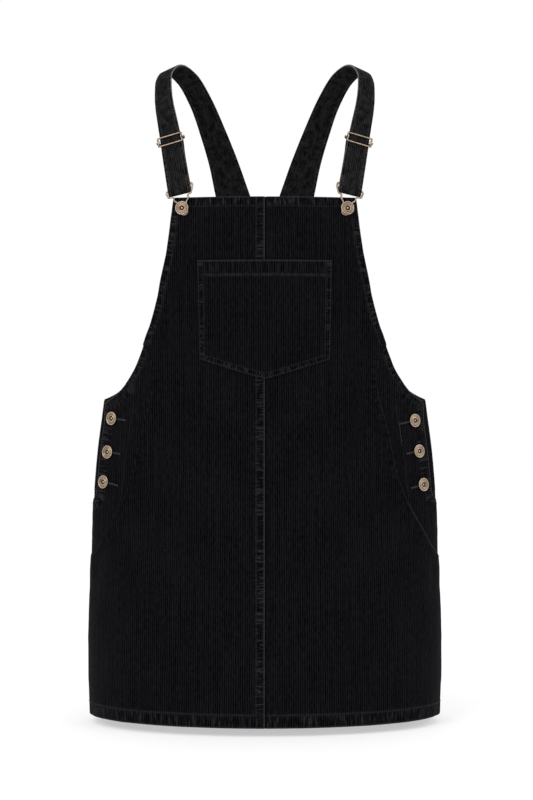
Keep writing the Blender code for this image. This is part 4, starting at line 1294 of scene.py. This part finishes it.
def sewEdges(name, panel, inside, seed):
    # rows of stitches along a panel's edges, each moved in towards the point inside
    for k, edge in enumerate(panel["edges"]):
        path = edge["path"]
        leg = np.gradient(path, axis=0)
        normal = np.stack([-leg[:, 1], leg[:, 0]], axis=1)
        normal /= np.linalg.norm(normal, axis=1, keepdims=True)
        middle = len(path) // 2
        sign = 1 if np.dot(normal[middle], np.array(inside) - path[middle]) > 0 else -1
        for j, distance in enumerate(edge["rows"]):
            sewRow(name, panel, path + normal * distance * sign, edge["start"], edge["end"], seed + 10 * k + j)


def barTack(name, panel, level, reach, turn, length, width):
    # a close zigzag of thread, square to its own line; turn is from level, in degrees
    cos, sin = math.cos(math.radians(turn)), math.sin(math.radians(turn))
    count = int(length / tack["pitch"])
    for k in range(count):
        along = (k / (count - 1) - 0.5) * length
        skew = tack["skew"] * (1 if k % 2 else -1)
        addStitch(name, panel, [(level + along * sin + half * width * cos,
                                 reach + along * cos - half * width * sin + skew * half * cos)
                                for half in (-0.5, 0.5)], tack["radius"], tack["height"])


def makeButtonhole(panel, level, neck, turn, length):
    slope = 0.9 * math.sin(math.radians(turn))
    count = int(length / buttonhole["pitch"])
    for k in range(count + 1):
        along = length * k / count - buttonhole["start"]
        flare = 1.0 if along > 0.002 else 1.5
        for part in (-flare, flare):
            ends = [(level + part * off + slope * along, neck - along)
                    for off in (buttonhole["gap"], buttonhole["gap"] + buttonhole["stitch"])]
            addStitch(tackPiece, panel, ends, buttonhole["radius"], buttonhole["height"])
    barTack(tackPiece, panel, level + slope * (length - buttonhole["start"]),
            neck - length + 0.0019, 90, 0.0016, 0.0008)


for side, seed in (("left", 100), ("right", 200)):
    sewEdges("stitchingFront", panels[sided("front", side)], (0.09, -0.5), seed)
finishThreads("stitchingFront")

# The facing's row of stitches shows in three lengths, the right one's middle scuffed
facing = {"reach": 0.0475, "bend": 0.0025, "bendLevel": -0.440, "bendOver": 0.015, "points": 30,
          "lengths": ((levels["placketEnd"] + 0.002, -0.484), (-0.483, -0.452), (-0.451, -0.405))}
for side, seed in (("left", 300), ("right", 400)):
    panel = panels[sided("sideFront", side)]
    sewEdges("stitchingSides", panel, (0.18, -0.5), seed)
    for k, (low, high) in enumerate(facing["lengths"]):
        level = np.linspace(low, high, facing["points"])
        bend = facing["bend"] * fade((facing["bendLevel"] - level) / facing["bendOver"])
        path = np.stack([placketReach(level) - facing["reach"] - bend, level], axis=1)
        name = tackPiece if (side, k) == ("right", 1) else "stitchingSides"
        sewRow(name, panel, path, seed=501 if side == "left" else 500)
    barTack("stitchingSides", panel, levels["placketEnd"] + 0.0008, placketReach(levels["placketEnd"]) - 0.0060,
            -8, 0.0095, 0.0012)
    for _, level, inset, turn, length in sideButtons[side]:
        makeButtonhole(panel, level, placketReach(level) - inset, turn, length)
finishThreads("stitchingSides")

sewEdges("stitchingPocket", panels["chestPocket"], (0.0, -0.31), 600)
pocketCorner = pocketReach([pocketStyle["top"]], [1.0])[0]
for side, sign in sides.items():
    panel = {"restAt": lambda level, reach: pocketLift(level, reach * sign), "toForm": mirrored(side)}
    for level, length in ((-0.0042, 0.0056), (-0.0064, 0.0040)):
        barTack("stitchingPocket", panel, pocketStyle["top"] + level, pocketCorner - 0.0040, 0, length, 0.0020)
finishThreads("stitchingPocket")
finishThreads(tackPiece)

sewEdges("stitchingBack", panels["backPanel"], (0.0, -0.5), 700)
finishThreads("stitchingBack")

strapRuns = [[strapFrame(max((k + 0.5) * stitch["pitch"] + half * stitch["length"], 0.0))
              for half in (-0.5, 0.5)] for k in range(int(strapTotal / stitch["pitch"]))]
for side, sign in sides.items():
    for edge, face in ((-1, 1), (-1, -1), (1, 1), (1, -1)):
        for run in strapRuns:
            ends = [item["middle"] + item["inward"] * (edge * (item["width"] / 2 - strapStyle["stitch"]))
                    + item["outward"] * face * (cloth["strap"] / 2 - 0.00012) for item in run]
            ends = [Vector((point.x * -sign, point.y, point.z)) for point in ends]
            threads["stitchingStraps"].append((*ends, stitch["radius"]))
finishThreads("stitchingStraps")

triangles = {piece.name: sum(len(face.vertices) - 2 for face in piece.data.polygons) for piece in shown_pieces()}
print("triangles", sum(triangles.values()), triangles)
